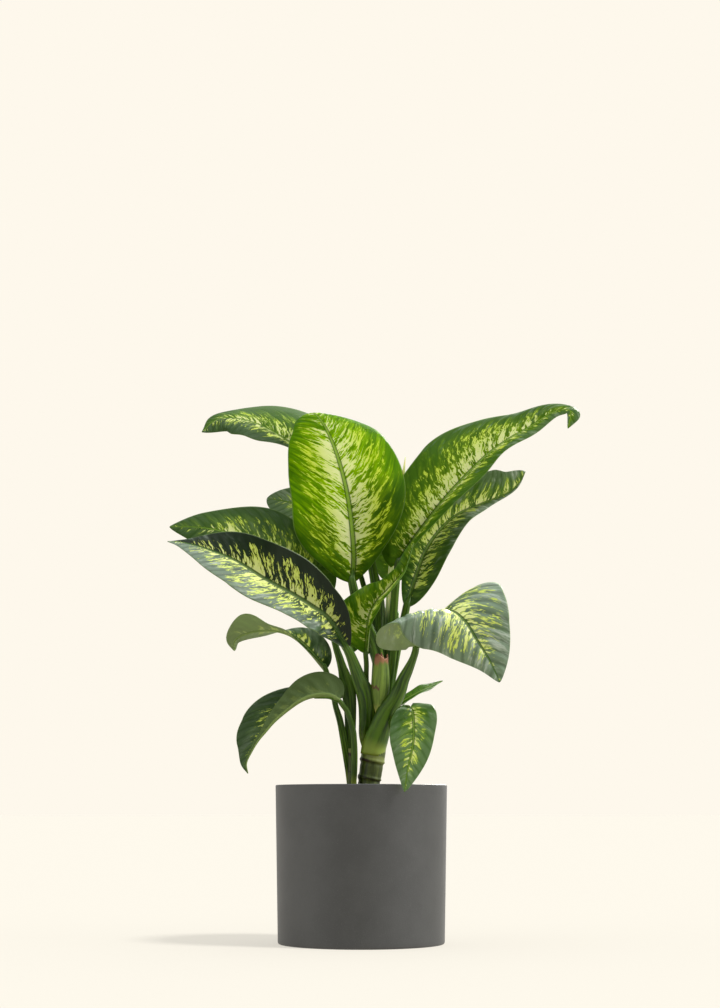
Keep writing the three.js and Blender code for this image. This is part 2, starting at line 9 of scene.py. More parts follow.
import bpy
import numpy as np
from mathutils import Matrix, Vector


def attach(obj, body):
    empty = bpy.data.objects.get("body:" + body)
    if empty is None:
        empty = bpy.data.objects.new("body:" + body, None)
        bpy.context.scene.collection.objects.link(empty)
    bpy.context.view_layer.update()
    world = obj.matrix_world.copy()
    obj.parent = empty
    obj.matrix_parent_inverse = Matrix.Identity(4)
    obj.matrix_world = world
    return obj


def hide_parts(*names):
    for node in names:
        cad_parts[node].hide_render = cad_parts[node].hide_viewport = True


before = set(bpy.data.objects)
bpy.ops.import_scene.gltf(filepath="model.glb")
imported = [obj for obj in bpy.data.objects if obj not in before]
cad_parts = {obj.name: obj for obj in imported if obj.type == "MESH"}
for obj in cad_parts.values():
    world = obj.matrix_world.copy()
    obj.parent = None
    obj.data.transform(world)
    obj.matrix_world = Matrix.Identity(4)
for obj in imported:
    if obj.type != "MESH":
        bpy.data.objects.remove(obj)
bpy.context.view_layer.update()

MM = 0.001

# ---- sizes, in millimetres

POT = {"top_radius": 100, "foot_radius": 96, "height": 180, "wall": 5, "floor": 6, "edge": 1.2}
BLADE_THICKNESS = 1.0
ROW_SPACING = 2.0  # between a blade's rows of points, within the fewest and most rows
FEWEST_ROWS, MOST_ROWS = 40, 130
HALF_COLUMNS = 20  # columns of points from a blade's midrib to its margin
GROOVE_DEPTH, GROOVE_WIDTH = 0.28, 0.07  # over a side vein; its width is a share of their spacing
CHANNEL_DEPTH = 0.45  # over the midrib
TUBE_SIDES, STALK_SIDES, POT_SIDES, CORNER_POINTS = 48, 28, 160, 7

# The left half comes first in half, fold and curl. All lists run from the base to the tip, and half
# holds half widths that outline then rounds off towards both ends.
BACK_LEAF = {"outline": [0.5, 0.8], "fold": [[20, 8, 0], [20, 8, 0]], "curl": [-20, -20], "lobe": 6}
LEAVES = [
  {
    "name": "leaf_upright",
    "stalk": [[19, 3, 240], [20, 9, 270], [21, 13, 301], [19, 12, 335], [10, 9, 362], [-3, 4, 388]],
    "girth": [7, 6.5, 6, 6, 6, 6, 5],
    "rib": [[-11, -2, 419], [-9, -2, 450], [-13, 2, 500], [-20, 8, 541], [-32, 20, 584],
      [-47, 38, 620], [-60, 56, 637], [-67, 84, 639]],
    "face": [[0, -1, 0.05], [0.05, -1, 0.15], [0, -0.9, 0.4], [-0.1, -0.2, 1]],
    "half": [[75, 77, 68, 69, 72, 60], [25, 57, 73, 77, 82, 30]], "outline": [0.55, 0.8],
    "fold": [[30, 10, 0, -10], [28, 10, 0, -15]], "curl": [-20, -25], "lobe": 2, "wave": [2, 3, 0.1],
  },
  {
    "name": "leaf_top_left",
    "stalk": [[18, 4, 240], [18, 14, 262], [18, 24, 292], [19, 28, 343], [14, 42, 436], [-10, 60, 510]],
    "girth": [6, 6, 5, 5, 4, 3],
    "rib": [[-46, 72, 577], [-69, 73, 590], [-89, 73, 603], [-114, 72, 619], [-139, 68, 629],
      [-161, 62, 632], [-180, 56, 628], [-197, 47, 611]],
    "face": [[0.1, -0.6, 0.8], [0.1, -0.6, 0.8], [-0.1, -0.6, 0.8]],
    "half": [[5, 10, 27, 44, 54, 70], [80, 85, 85, 61, 41, 22]], "outline": [0.6, 0.85],
    "fold": [[15, 5, -10], [25, 10, 0]], "curl": [-15, -25], "lobe": 6, "wave": [1.5, 3, 0.3],
  },
  {
    "name": "leaf_top_right",
    "stalk": [[17, 3, 232], [24, 9, 252], [31, 14, 291], [37, 15, 341], [39, 12, 391]],
    "girth": [7, 6, 5.5, 5, 4.5],
    "rib": [[44, 10, 441], [61, 12, 468], [79, 16, 493], [100, 22, 521], [126, 28, 551],
      [153, 36, 579], [181, 42, 601], [209, 46, 618], [233, 46, 634], [249, 42, 638], [258, 37, 634],
      [253, 31, 612]],
    "face": [[-0.2, -1, 0.2], [-0.2, -1, 0.3], [-0.3, -0.8, 0.5], [0.2, -0.8, 0.6]],
    "half": [[60, 65, 73, 100, 82, 50], [40, 35, 38, 26, 23, 20]], "outline": [0.5, 0.85],
    "fold": [[10, 0, -20], [70, 50, 20, -20]], "curl": [-20, -10], "lobe": 8, "wave": [1.5, 4, 0.5],
  },
  {
    "name": "leaf_right",
    "stalk": [[16, 3, 222], [25, 9, 250], [33, 16, 291], [43, 20, 342], [50, 22, 372]],
    "girth": [7, 6.5, 5.5, 5, 4.5],
    "rib": [[55, 24, 395], [66, 32, 429], [78, 40, 461], [96, 48, 488], [119, 54, 509], [149, 58, 523],
      [177, 60, 535], [193, 60, 547], [203, 58, 564]],
    "face": [[-0.2, -1, 0.2], [-0.1, -1, 0.4], [0.2, -1, 0.3], [0.4, -1, 0]],
    "half": [[20, 28, 38, 80], [34, 36, 32, 26, 8, 5]], "outline": [0.55, 0.7],
    "fold": [[30, 25, 20, 0], [20, 30, 50, 20]], "curl": [-20, -20], "lobe": 4, "wave": [1.5, 3, 0.2],
  },
  {
    "name": "leaf_right_drooping",
    "stalk": [[13, 0, 215], [15, -1, 226], [20, -3, 240], [26, -6, 255], [32, -8, 267], [39, -11, 278],
      [45, -14, 290], [49, -17, 301], [55, -21, 313], [60, -26, 324], [63, -31, 333]],
    "girth": [14.9, 14.4, 12.6, 11.3, 9.2, 7.8, 6.2, 4.4, 4],
    "rib": [[64, -36, 339], [72, -48, 352], [85, -64, 367], [101, -80, 375], [117, -94, 362],
      [130, -102, 340], [144, -106, 316], [155, -106, 292]],
    "face": [[-0.2, 0, 1], [-0.3, -0.2, 1], [-0.3, -0.8, 0.5], [0, -1, 0.2]],
    "half": [[5, 75, 70, 58, 56, 46], [95, 97, 87, 60, 44, 30]], "outline": [0.4, 0.75],
    "fold": [[20, 0], [0, 30, 20]], "curl": [[0, -20], [0, -32, -70, -90]], "lobe": 4, "wave": [1.5, 2, 0.2],
  },
  {
    "name": "leaf_centre",
    "stalk": [[13, 2, 253], [8, 4, 279], [6, 2, 303], [6, -2, 321]],
    "girth": [4, 3.5, 3, 3, 3],
    "rib": [[5, -8, 333], [7, -14, 357], [10, -18, 377], [19, -21, 394], [30, -24, 405],
      [41, -26, 417], [51, -27, 430], [62, -26, 462]],
    "face": [[0, -1, 0.1], [-0.3, -1, 0.3], [-0.5, -1, 0.4]],
    "half": [[18, 47, 28, 15, 16, 26], [7, 7, 32, 45, 18, 28]], "outline": [0.45, 0.7],
    "fold": [[30, 30], [55, 55]], "curl": [-15, 0], "lobe": 0, "wave": [1, 3, 0.2],
  },
  {
    "name": "leaf_left",
    "stalk": [[8, 0, 223], [5, -3, 238], [6, -4, 255], [6, -6, 273], [3, -10, 288], [-2, -14, 301],
      [-7, -18, 315], [-12, -23, 328]],
    "girth": [7, 8, 9, 9.6, 9.4, 8, 6.5, 5.2],
    "rib": [[-16, -26, 336], [-36, -38, 368], [-56, -48, 383], [-82, -60, 398], [-111, -70, 413],
      [-144, -78, 433], [-178, -84, 446], [-206, -88, 453], [-222, -90, 454]],
    "face": [[-0.2, -1, 0.4], [-0.2, -1, 0.4], [-0.3, -1, 0.8]],
    "half": [[10, 38, 43, 57, 88, 85], [20, 32, 45, 50, 53, 10]], "outline": [0.5, 1],
    "fold": [[40, 36, 20], [20, 8, 0]], "curl": [-5, 10], "lobe": 0, "wave": [1, 3, 0.2],
  },
  {
    "name": "leaf_left_upper",
    "stalk": [[-11, -6, 183], [-12, -4, 207], [-13, -2, 226], [-13, 0, 261], [-15, 0, 288],
      [-20, 0, 308], [-26, -1, 329], [-31, -2, 345]],
    "girth": [4.6, 5.2, 5.6, 6.6, 7.6, 5, 3.6, 3.5, 3.5],
    "rib": [[-45, 0, 400], [-72, 6, 437], [-105, 10, 459], [-146, 14, 476], [-189, 14, 486],
      [-231, 12, 487]],
    "face": [[0.2, -1, 0.4], [0.1, -1, 0.5], [0, -1, 0.5]],
    "half": [[40, 52, 42], [45, 48, 50, 58, 42, 40]], "outline": [0.55, 0.8],
    "fold": [[10, 5, 0], [15, 5, 0]], "curl": [-15, -15], "lobe": 6, "wave": [3, 2.6, 0.75],
  },
  {
    "name": "leaf_back_small",
    "stalk": [[18, 4, 236], [18, 14, 254], [20, 26, 290], [18, 36, 345], [-2, 46, 436]],
    "girth": [5, 4, 3.5, 3.2, 2.6],
    "rib": [[-31, 54, 488], [-53, 60, 510], [-80, 66, 524], [-117, 70, 532]],
    "face": [[0.2, -1, 0.3], [0.2, -1, 0.5], [0.2, -0.8, 0.7]],
    "half": [[30, 32, 34], [30, 34, 34]], "outline": [0.5, 0.55],
    "fold": [[10, 5, 0], [10, 5, 0]], "curl": [-10, -10], "lobe": 2, "wave": [1, 2, 0],
  },
  {
    "name": "leaf_low_left_twisted",
    "stalk": [[-13, -6, 180], [-15, -7, 197], [-18, -8, 215], [-21, -8, 232], [-25, -8, 253],
      [-30, -7, 271], [-34, -5, 290]],
    "girth": [3.6, 3.8, 3.8, 3.6, 3.4, 3.2, 3.2],
    "rib": [[-43, -2, 317], [-60, -8, 336], [-77, -14, 351], [-94, -18, 358], [-114, -22, 359],
      [-133, -26, 355], [-147, -28, 347], [-148, -30, 334]],
    "face": [[0.5, -1, 0.4], [0.3, -1, 0.5], [0, 0.1, 1], [0, 0.9, 0.6], [0, 1, 0.2]],
    "half": [[8, 5, 5, 9, 30, 8], [42, 30, 17, 13, 10, 8]], "outline": [0.5, 0.5],
    "fold": [[45, 15, 0], [10, 10, 5]], "curl": [0, 0], "lobe": 3, "wave": [1, 2, 0.2],
  },
  {
    "name": "leaf_low_left_arching",
    "stalk": [[-9, -10, 177], [-8, -13, 195], [-8, -15, 218], [-9, -17, 237], [-12, -19, 252],
      [-17, -21, 265], [-22, -24, 272]],
    "girth": [3.8, 3.9, 3.9, 3.7, 3.5, 3.2, 3],
    "rib": [[-26, -25, 277], [-40, -30, 283], [-58, -34, 281], [-72, -38, 275], [-88, -42, 263],
      [-101, -46, 251], [-110, -49, 240], [-118, -51, 230], [-125, -53, 218], [-131, -54, 204],
      [-129, -54, 192]],
    "face": [[0.2, 0.1, 1], [-0.3, 0.1, 1], [-0.75, -0.1, 0.6], [-0.9, -0.2, 0.4]],
    "half": [[42, 31, 16, 8, 5, 3], [10, 22, 38, 46, 41, 12]], "outline": [0.45, 0.65],
    "fold": [[95, 90, 80, 70, 60], [40, 45, 50, 45, 35]], "curl": [0, 0], "lobe": 4, "wave": [1, 2, 0.2],
  },
  {
    "name": "leaf_low_right_hanging",
    "stalk": [[22, 0, 238], [32, -9, 247], [38, -24, 258], [46, -46, 267]],
    "girth": [4, 3.2, 2.8, 2.6, 2.4],
    "rib": [[54, -62, 267], [58, -76, 260], [59, -90, 238], [57, -96, 219], [52, -98, 198],
      [48, -98, 171]],
    "face": [[0, -0.3, 1], [0.1, -1, 0.3], [0.1, -1, 0.1]],
    "half": [[30, 28, 24, 24, 25, 20], [8, 23, 28, 28, 21, 14]], "outline": [0.3, 0.7],
    "fold": [[10, 8, 5], [10, 8, 5]], "curl": [-15, -15], "lobe": 10, "wave": [1, 2, 0.2],
  },
  {
    "name": "leaf_low_right_narrow",
    "stalk": [[20, 2, 236], [27, 8, 252], [36, 10, 266]],
    "girth": [3.6, 3.2, 2.8, 2.4],
    "rib": [[45, 8, 275], [57, 14, 283], [71, 26, 291], [84, 42, 298], [99, 62, 306]],
    "face": [[0, -0.2, 1], [0, -0.2, 1]],
    "half": [8, 5], "outline": [0.5, 0.9],
    "fold": [[35, 30], [-10, -10]], "curl": [0, 0], "lobe": 3, "wave": [1, 2, 0.2],
  },
  {
    "name": "leaf_back_upper",
    "stalk": [[19, 4, 240], [21, 14, 260], [25, 28, 300], [26, 40, 350], [23, 50, 410]],
    "girth": [6, 5, 4.5, 4, 3.5],
    "rib": [[9, 59, 460], [6, 72, 480], [0, 98, 512], [-10, 132, 534], [-19, 168, 536], [-26, 200, 520]],
    "face": [[0, -0.6, 0.8], [0, -0.3, 1], [0, 0.2, 1]],
    "half": [[46, 52, 54, 50], [46, 52, 54, 50]],
    **BACK_LEAF, "wave": [2, 3, 0.2],
  },
  {
    "name": "leaf_back_right",
    "stalk": [[17, 4, 228], [24, 12, 246], [32, 26, 290], [37, 38, 340], [40, 50, 395]],
    "girth": [6, 5, 4.5, 4, 3.5],
    "rib": [[44, 58, 430], [52, 76, 458], [66, 102, 490], [84, 132, 510], [100, 162, 514],
      [114, 188, 498]],
    "face": [[-0.4, -0.4, 0.8], [-0.2, -0.2, 1], [0.2, 0.2, 1]],
    "half": [[42, 50, 50, 46], [42, 50, 50, 46]],
    **BACK_LEAF, "wave": [2, 3, 0.6],
  },
  {
    "name": "leaf_back_left",
    "stalk": [[15, 3, 230], [9, 9, 250], [3, 18, 280], [-5, 24, 310]],
    "girth": [6, 5, 4.5, 3.5],
    "rib": [[-15, 29, 342], [-28, 44, 374], [-52, 72, 408], [-86, 106, 436], [-122, 142, 456],
      [-156, 176, 458]],
    "face": [[0.4, -0.4, 0.8], [0.2, -0.2, 1], [-0.2, 0.2, 1]],
    "half": [[38, 46, 48, 44], [38, 46, 48, 44]],
    **BACK_LEAF, "wave": [2, 3, 0.4],
  },
  {
    "name": "leaf_back_low",
    "stalk": [[16, 4, 228], [17, 13, 248], [19, 26, 284], [18, 38, 320]],
    "girth": [5.5, 5, 4.5, 3.5],
    "rib": [[12, 48, 342], [11, 66, 368], [9, 98, 392], [8, 136, 402], [8, 170, 394], [9, 198, 370]],
    "face": [[0, -0.4, 0.8], [0, 0.1, 1], [0, 0.5, 0.8]],
    "half": [[32, 38, 40, 34], [32, 38, 40, 34]],
    **BACK_LEAF, "wave": [1.5, 3, 0.8],
  },
]

STEMS = {
    "main_cane": {
        "path": [[8, 0, 60], [8, 0, 130], [9, 0, 180], [11, 0, 194], [13, 0, 208], [16, 0, 226],
                 [19, 1, 248], [21, 2, 270]],
        "girth": [9, 11.5, 12.8, 13, 13, 13.2, 14, 11, 7],
        "rings": [188, 208],
    },
    "side_cane": {
        "path": [[-11, -7, 90], [-11, -7, 150], [-11, -7, 185], [-12, -6, 222]],
        "girth": [5.4, 5.8, 5.8, 4.5],
        "rings": [174],
    },
    "rolled_leaf": {
        "path": [[23, 11, 262], [27, 20, 301], [30, 26, 353], [35, 31, 409], [40, 39, 457],
                 [48, 57, 524], [55, 74, 585]],
        "girth": [5, 4, 4, 5, 5.5, 4, 0.5],
        "rings": [],
    },
    "spent_sheath": {
        "path": [[19, -7, 260], [21, -8, 273], [22, -9, 290], [23, -10, 308], [24, -10, 335]],
        "girth": [2, 7.5, 10.3, 10, 8.3, 7],
        "rings": [296],
    },
}

# How each leaf is marked. One number holds for both halves; of two, the first is for the left
# half. cream is how much of it is cream, reach how far the cream goes out from the midrib,
# hue_and_shade its green from yellowish and bright (0) to bluish and dark (1), partly its own
# green and partly painted shade for a leaf that gets little light, depth how much painted shade
# darkens it, standing in for cast shadows and shaded folds, shade_end how far from the base that
# holds, and painted_sheen how much painted sheen, a pale reflection of the light above, lies on
# it. sheen_from is where the painted sheen starts, from the base (0) to the tip (1), quilt how
# high the blade swells between its side veins, veins their spacing in millimetres, lean how fast
# they lead towards the tip at the base of the blade and how much faster at its tip, and face its
# upper material.
PLAIN_LOOK = {"cream": 0.6, "reach": 0.62, "hue_and_shade": 0.4, "depth": 0.0, "shade_end": 2.0, "painted_sheen": 0.1,
              "sheen_from": 0.4, "quilt": 0.6, "veins": 11, "lean": ((0.25, 0.75), (0.25, 0.75)),
              "face": "plain"}
LOOKS = {
    "leaf_upright": {"cream": 0.92, "reach": (0.72, 0.76), "hue_and_shade": 0.0, "painted_sheen": 0.0,
        "depth": (0.4, 0.55), "shade_end": (0.28, 0.42), "quilt": 0.9, "lean": ((0.45, 0.85), (0.05, 1.1)),
        "face": "bright"},
    "leaf_top_left": {"cream": (0.55, 0.6), "reach": (0.6, 0.48), "hue_and_shade": (0.6, 0.2),
        "depth": (0.4, 0.35), "painted_sheen": (0.15, 0.0), "sheen_from": 0.3, "quilt": 0.9, "veins": 10},
    "leaf_top_right": {"cream": (0.72, 0.8), "hue_and_shade": 0.2, "depth": (0.35, 0.3), "painted_sheen": (0.5, 0.6),
        "sheen_from": (0.66, 0.6), "quilt": 0.9, "lean": ((0.2, 0.6), (0.2, 0.6)), "face": "bright"},
    "leaf_right": {"cream": 0.75, "hue_and_shade": 0.6, "depth": (0.0, 0.35), "painted_sheen": 1.0, "sheen_from": (0.6, 0.45),
        "quilt": 0.5, "veins": 10, "face": "waxy"},
    "leaf_right_drooping": {"cream": 0.62, "reach": 0.76, "hue_and_shade": 0.9, "painted_sheen": (0.75, 0.8),
        "sheen_from": (0.1, 0.05), "quilt": 1.7, "veins": 17, "face": "waxy"},
    "leaf_centre": {"cream": 0.82, "reach": (0.8, 0.75), "hue_and_shade": 0.25, "depth": (0.05, 0.1),
        "painted_sheen": (0.12, 0.1), "sheen_from": 0.5, "quilt": 0.4, "veins": 10, "face": "bright"},
    "leaf_left": {"cream": (0.74, 0.76), "reach": (0.85, 0.66), "hue_and_shade": 1.0, "depth": (0.0, 0.9),
        "painted_sheen": (0.6, 0.5), "sheen_from": (0.15, 0.8), "quilt": 0.5, "face": "waxy"},
    "leaf_left_upper": {"cream": (0.42, 0.46), "reach": (0.5, 0.56), "hue_and_shade": (0.5, 0.45),
        "depth": (0.5, 0.42), "sheen_from": 0.2, "quilt": 0.9, "veins": 12},
    "leaf_back_small": {"cream": 0.1, "reach": 0.5, "hue_and_shade": 0.7, "painted_sheen": 0.5, "sheen_from": 0.1,
        "quilt": 0.4, "veins": 10},
    "leaf_low_left_twisted": {"cream": 0.4, "hue_and_shade": 0.9, "painted_sheen": (0.0, 0.6), "sheen_from": (1.0, 0.15),
        "quilt": 0.4, "veins": 10},
    "leaf_low_left_arching": {"cream": 0.34, "reach": 0.5, "hue_and_shade": 0.8, "depth": (0.6, 0.35),
        "painted_sheen": (0.1, 0.15), "sheen_from": 0.3, "quilt": 0.9, "veins": 12},
    "leaf_low_right_hanging": {"cream": 0.42, "reach": 0.48, "hue_and_shade": 0.45, "painted_sheen": 0.4, "sheen_from": 0.1,
        "quilt": 0.5, "veins": 10},
    "leaf_low_right_narrow": {"cream": 0.0, "reach": 0.3, "painted_sheen": 0.0, "quilt": 0.2, "veins": 10},
    "leaf_back_upper": {"cream": 0.8, "hue_and_shade": 0.2, "painted_sheen": 0.0, "face": "bright"},
    "leaf_back_right": {"cream": 0.7},
    "leaf_back_left": {"hue_and_shade": 0.5},
    "leaf_back_low": {"cream": 0.5},
}

# ---- camera

# The photograph is taken from 2.1 m in front of the pot, a little below its rim, looking up
# a little; the pot's axis is a hair right of the middle of the picture.
CAMERA_DISTANCE = 2.1
CAMERA_HEIGHT = 0.1502
CAMERA_TILT = math.radians(9.8)
IMAGE_SIZE = (720, 1008)
FOCAL_PIXELS = 1777.3
POT_AXIS_PIXEL = 361.3
SENSOR = 36.0


def make_camera():
    data = bpy.data.cameras.new("camera")
    data.sensor_width = SENSOR
    data.lens = FOCAL_PIXELS * SENSOR / max(IMAGE_SIZE)
    data.shift_x = -(POT_AXIS_PIXEL - IMAGE_SIZE[0] / 2) / max(IMAGE_SIZE)
    camera = bpy.data.objects.new("camera", data)
    camera.location = (0, -CAMERA_DISTANCE, CAMERA_HEIGHT)
    camera.rotation_euler = (math.pi / 2 + CAMERA_TILT, 0, 0)
    bpy.context.scene.collection.objects.link(camera)
    bpy.context.scene.camera = camera


# ---- curves


def smooth(values, at):
    """The smooth value at each of at, from 0 to 1, through numbers or vectors spread evenly."""
    points = np.array(values, float)
    if points.ndim == 0:
        return np.full(np.shape(at), float(points))
    points = np.concatenate([[2 * points[0] - points[1]], points, [2 * points[-1] - points[-2]]])
    spans = len(points) - 3
    place = np.clip(np.asarray(at) * spans, 0, spans - 1e-9)
    first = place.astype(int)
    t = place - first
    if points.ndim > 1:
        t = t[..., None]
    a, b, c, d = (points[first + k] for k in range(4))
    return 0.5 * (2 * b + (c - a) * t + (2 * a - 5 * b + 4 * c - d) * t**2 + (3 * b - a - 3 * c + d) * t**3)


def unit(vectors):
    return vectors / np.maximum(np.linalg.norm(vectors, axis=-1, keepdims=True), 1e-9)


class Path:
    """One smooth curve through points, walked by the share of its length."""

    def __init__(self, points):
        dense = np.linspace(0, 1, 40 * (len(points) - 1) + 1)
        self.points = smooth(points, dense)
        steps = np.linalg.norm(np.diff(self.points, axis=0), axis=1)
        self.walked = np.concatenate([[0], np.cumsum(steps)])
        self.length = self.walked[-1]

    def at(self, share):
        where = np.asarray(share) * self.length
        return np.stack([np.interp(where, self.walked, self.points[:, k]) for k in range(3)], -1)

    def forward(self, share):
        share, reach = np.asarray(share), 0.012
        return unit(self.at(np.clip(share + reach, 0, 1)) - self.at(np.clip(share - reach, 0, 1)))


# ---- meshes


def add_mesh(name, points, faces, materials, material_of=None, attributes=None):
    """A smooth-shaded mesh object from points in millimetres."""
    mesh = bpy.data.meshes.new(name)
    mesh.from_pydata((np.asarray(points, float) * MM).tolist(), [], [list(map(int, f)) for f in faces])
    for material in materials:
        mesh.materials.append(material)
    mesh.polygons.foreach_set("use_smooth", [True] * len(mesh.polygons))
    if material_of is not None:
        mesh.polygons.foreach_set("material_index", np.asarray(material_of, np.int32))
    for key, values in (attributes or {}).items():
        layer = mesh.attributes.new(key, "FLOAT_VECTOR", "POINT")
        layer.data.foreach_set("vector", np.asarray(values, np.float32).ravel())
    mesh.update()
    piece = bpy.data.objects.new(name, mesh)
    bpy.context.scene.collection.objects.link(piece)
    return piece


def grid_faces(rows, columns, closed=False, flip=False):
    """Quads of a grid of points, rows by columns; closed joins the last column to the first."""
    joins = columns if closed else columns - 1
    row, column = np.meshgrid(np.arange(rows - 1), np.arange(joins), indexing="ij")
    ahead = (column + 1) % columns
    a, b = row * columns + column, row * columns + ahead
    c, d = (row + 1) * columns + ahead, (row + 1) * columns + column
    order = (a, d, c, b) if flip else (a, b, c, d)
    return np.stack([x.ravel() for x in order], 1)


class Shell:
    """Points and faces collected for one piece, with vector attributes for its material."""

    def __init__(self):
        self.points, self.faces, self.slots = [], [], []
        self.layers = {}
        self.count = 0

    def add(self, points, faces, slot, **layers):
        points = np.asarray(points, float).reshape(-1, 3)
        self.points.append(points)
        self.faces += [tuple(int(i) + self.count for i in face) for face in faces]
        self.slots += [slot] * len(faces)
        for key, values in layers.items():
            values = np.broadcast_to(np.asarray(values, float), (len(points), 3))
            self.layers.setdefault(key, []).append((self.count, values))
        self.count += len(points)

    def build(self, name, materials):
        attributes = {}
        for key, blocks in self.layers.items():
            whole = np.zeros((self.count, 3))
            for start, values in blocks:
                whole[start:start + len(values)] = values
            attributes[key] = whole
        return add_mesh(name, np.concatenate(self.points), self.faces, materials, self.slots, attributes)


# ---- stalks and canes


def carried_frames(path, shares, last_side):
    """Side directions carried along a path without twisting, starting from its far end."""
    forward = path.forward(shares)
    sides = np.zeros_like(forward)
    side = np.asarray(last_side, float)
    for index in range(len(shares) - 1, -1, -1):
        side = side - forward[index] * (side @ forward[index])
        side = side / np.linalg.norm(side)
        sides[index] = side
    return forward, sides


def tube(shell, path, shares, radii, slot, section, mark, face=(0, -1, 0), sides=TUBE_SIDES):
    """A closed tube. section(angle, share) scales the radius; angle 0 is towards face."""
    shares = np.asarray(shares, float)
    forward, front = carried_frames(path, shares, face)
    left = np.cross(forward, front)
    angles = np.linspace(0, 2 * math.pi, sides, endpoint=False)
    angle, share = np.meshgrid(angles, shares)
    radius = np.asarray(radii, float)[:, None] * section(angle, share)
    centre = path.at(shares)
    points = (centre[:, None] + radius[..., None] * (np.cos(angle)[..., None] * front[:, None]
              + np.sin(angle)[..., None] * left[:, None]))
    rows = len(shares)
    faces = grid_faces(rows, sides, closed=True)
    foot = tuple(range(sides))
    tip = tuple(rows * sides - 1 - k for k in range(sides))
    along = np.repeat(shares * path.length, sides) * MM
    grain = np.stack([np.tile(angles / (2 * math.pi), rows), along, np.full(rows * sides, mark)], 1)
    spot = np.stack([np.repeat(shares, sides), np.tile(np.cos(angles), rows), np.zeros(rows * sides)], 1)
    shell.add(points, [*faces, foot[::-1], tip[::-1]], slot, grain=grain, spot=spot)


def stalk_section(wing_end):
    """A round stalk with a channel on its upper face, edged by wings up to wing_end."""
    def section(angle, share):
        off = np.abs(np.angle(np.exp(1j * angle)))
        winged = 1 / (1 + np.exp((share - wing_end) / 0.012))
        wide = 0.35 + 0.45 * winged * (1 - share)
        channel = np.exp(-(off / wide) ** 2) * (0.16 + 0.34 * winged)
        wing = np.exp(-(((off - wide * 1.75) / 0.2) ** 2)) * (0.03 + 0.22 * winged)
        return 1 - channel + wing
    return section


# ---- leaves


def outline_share(u, powers):
    """Share of the full half width: round at the base, drawn out to the tip."""
    base, tip = powers
    widest = base / (base + tip)
    return u**base * (1 - u) ** tip / (widest**base * (1 - widest) ** tip)


def rib_frames(leaf, shares):
    rib = Path(leaf["rib"])
    forward = rib.forward(shares)
    face = smooth(leaf["face"], shares)
    up = unit(face - forward * (face * forward).sum(-1, keepdims=True))
    return rib, rib.at(shares), forward, up, np.cross(up, forward)


def half_blade(leaf, half, u, frames, rib_core, fractions):
    """Middle surface of one half (0 left, 1 right): points, distance out, share out."""
    _, centre, forward, up, left = frames
    full = np.maximum(smooth(leaf["half"][half], u) * outline_share(u, leaf["outline"]), 0.15)
    inner = np.minimum(1.5 * rib_core, 0.4 * full)
    near = np.array([0, 0.3, 0.55, 0.8])
    distance = np.concatenate([inner[:, None] * near, inner[:, None]
                               + (full - inner)[:, None] * np.asarray(fractions)], 1)
    share = distance / full[:, None]
    fold = np.radians(smooth(leaf["fold"][half], u))[:, None]
    curl = np.radians(smooth(leaf["curl"][half], u))[:, None] * share
    safe = np.where(np.abs(curl) < 1e-3, 1, curl)
    out = np.where(np.abs(curl) < 1e-3, distance * np.cos(fold),
                   distance * (np.sin(fold + safe) - np.sin(fold)) / safe)
    rise = np.where(np.abs(curl) < 1e-3, distance * np.sin(fold),
                    distance * (np.cos(fold) - np.cos(fold + safe)) / safe)
    height, count, phase = leaf["wave"]
    turn = count * u + phase + (0.37 if half else 0)
    ripple = height * share**2 * (np.sin(2 * math.pi * turn) * outline_share(u, leaf["outline"]))[:, None]
    sweep = leaf["lobe"] * share**2 * np.exp(-((u / 0.16) ** 2))[:, None]
    side = -1 if half else 1
    points = (centre[:, None] + left[:, None] * (side * out)[..., None]
              + up[:, None] * (rise + ripple)[..., None] - forward[:, None] * sweep[..., None])
    return points, distance, share


def for_halves(value):
    """The numbers for the left and the right half, which are alike where a look gives only one."""
    return value if isinstance(value, tuple) else (value, value)


def vein_phase(u, length, distance, on_left, look):
    """Which side vein passes here: whole numbers lie on a vein, which bends towards the tip."""
    start, gain = (np.where(on_left, *pair) for pair in zip(*look["lean"]))
    lead = (start + gain * u[:, None]) * distance + 0.005 * gain * distance**2
    return (u[:, None] * length - lead) / look["veins"]


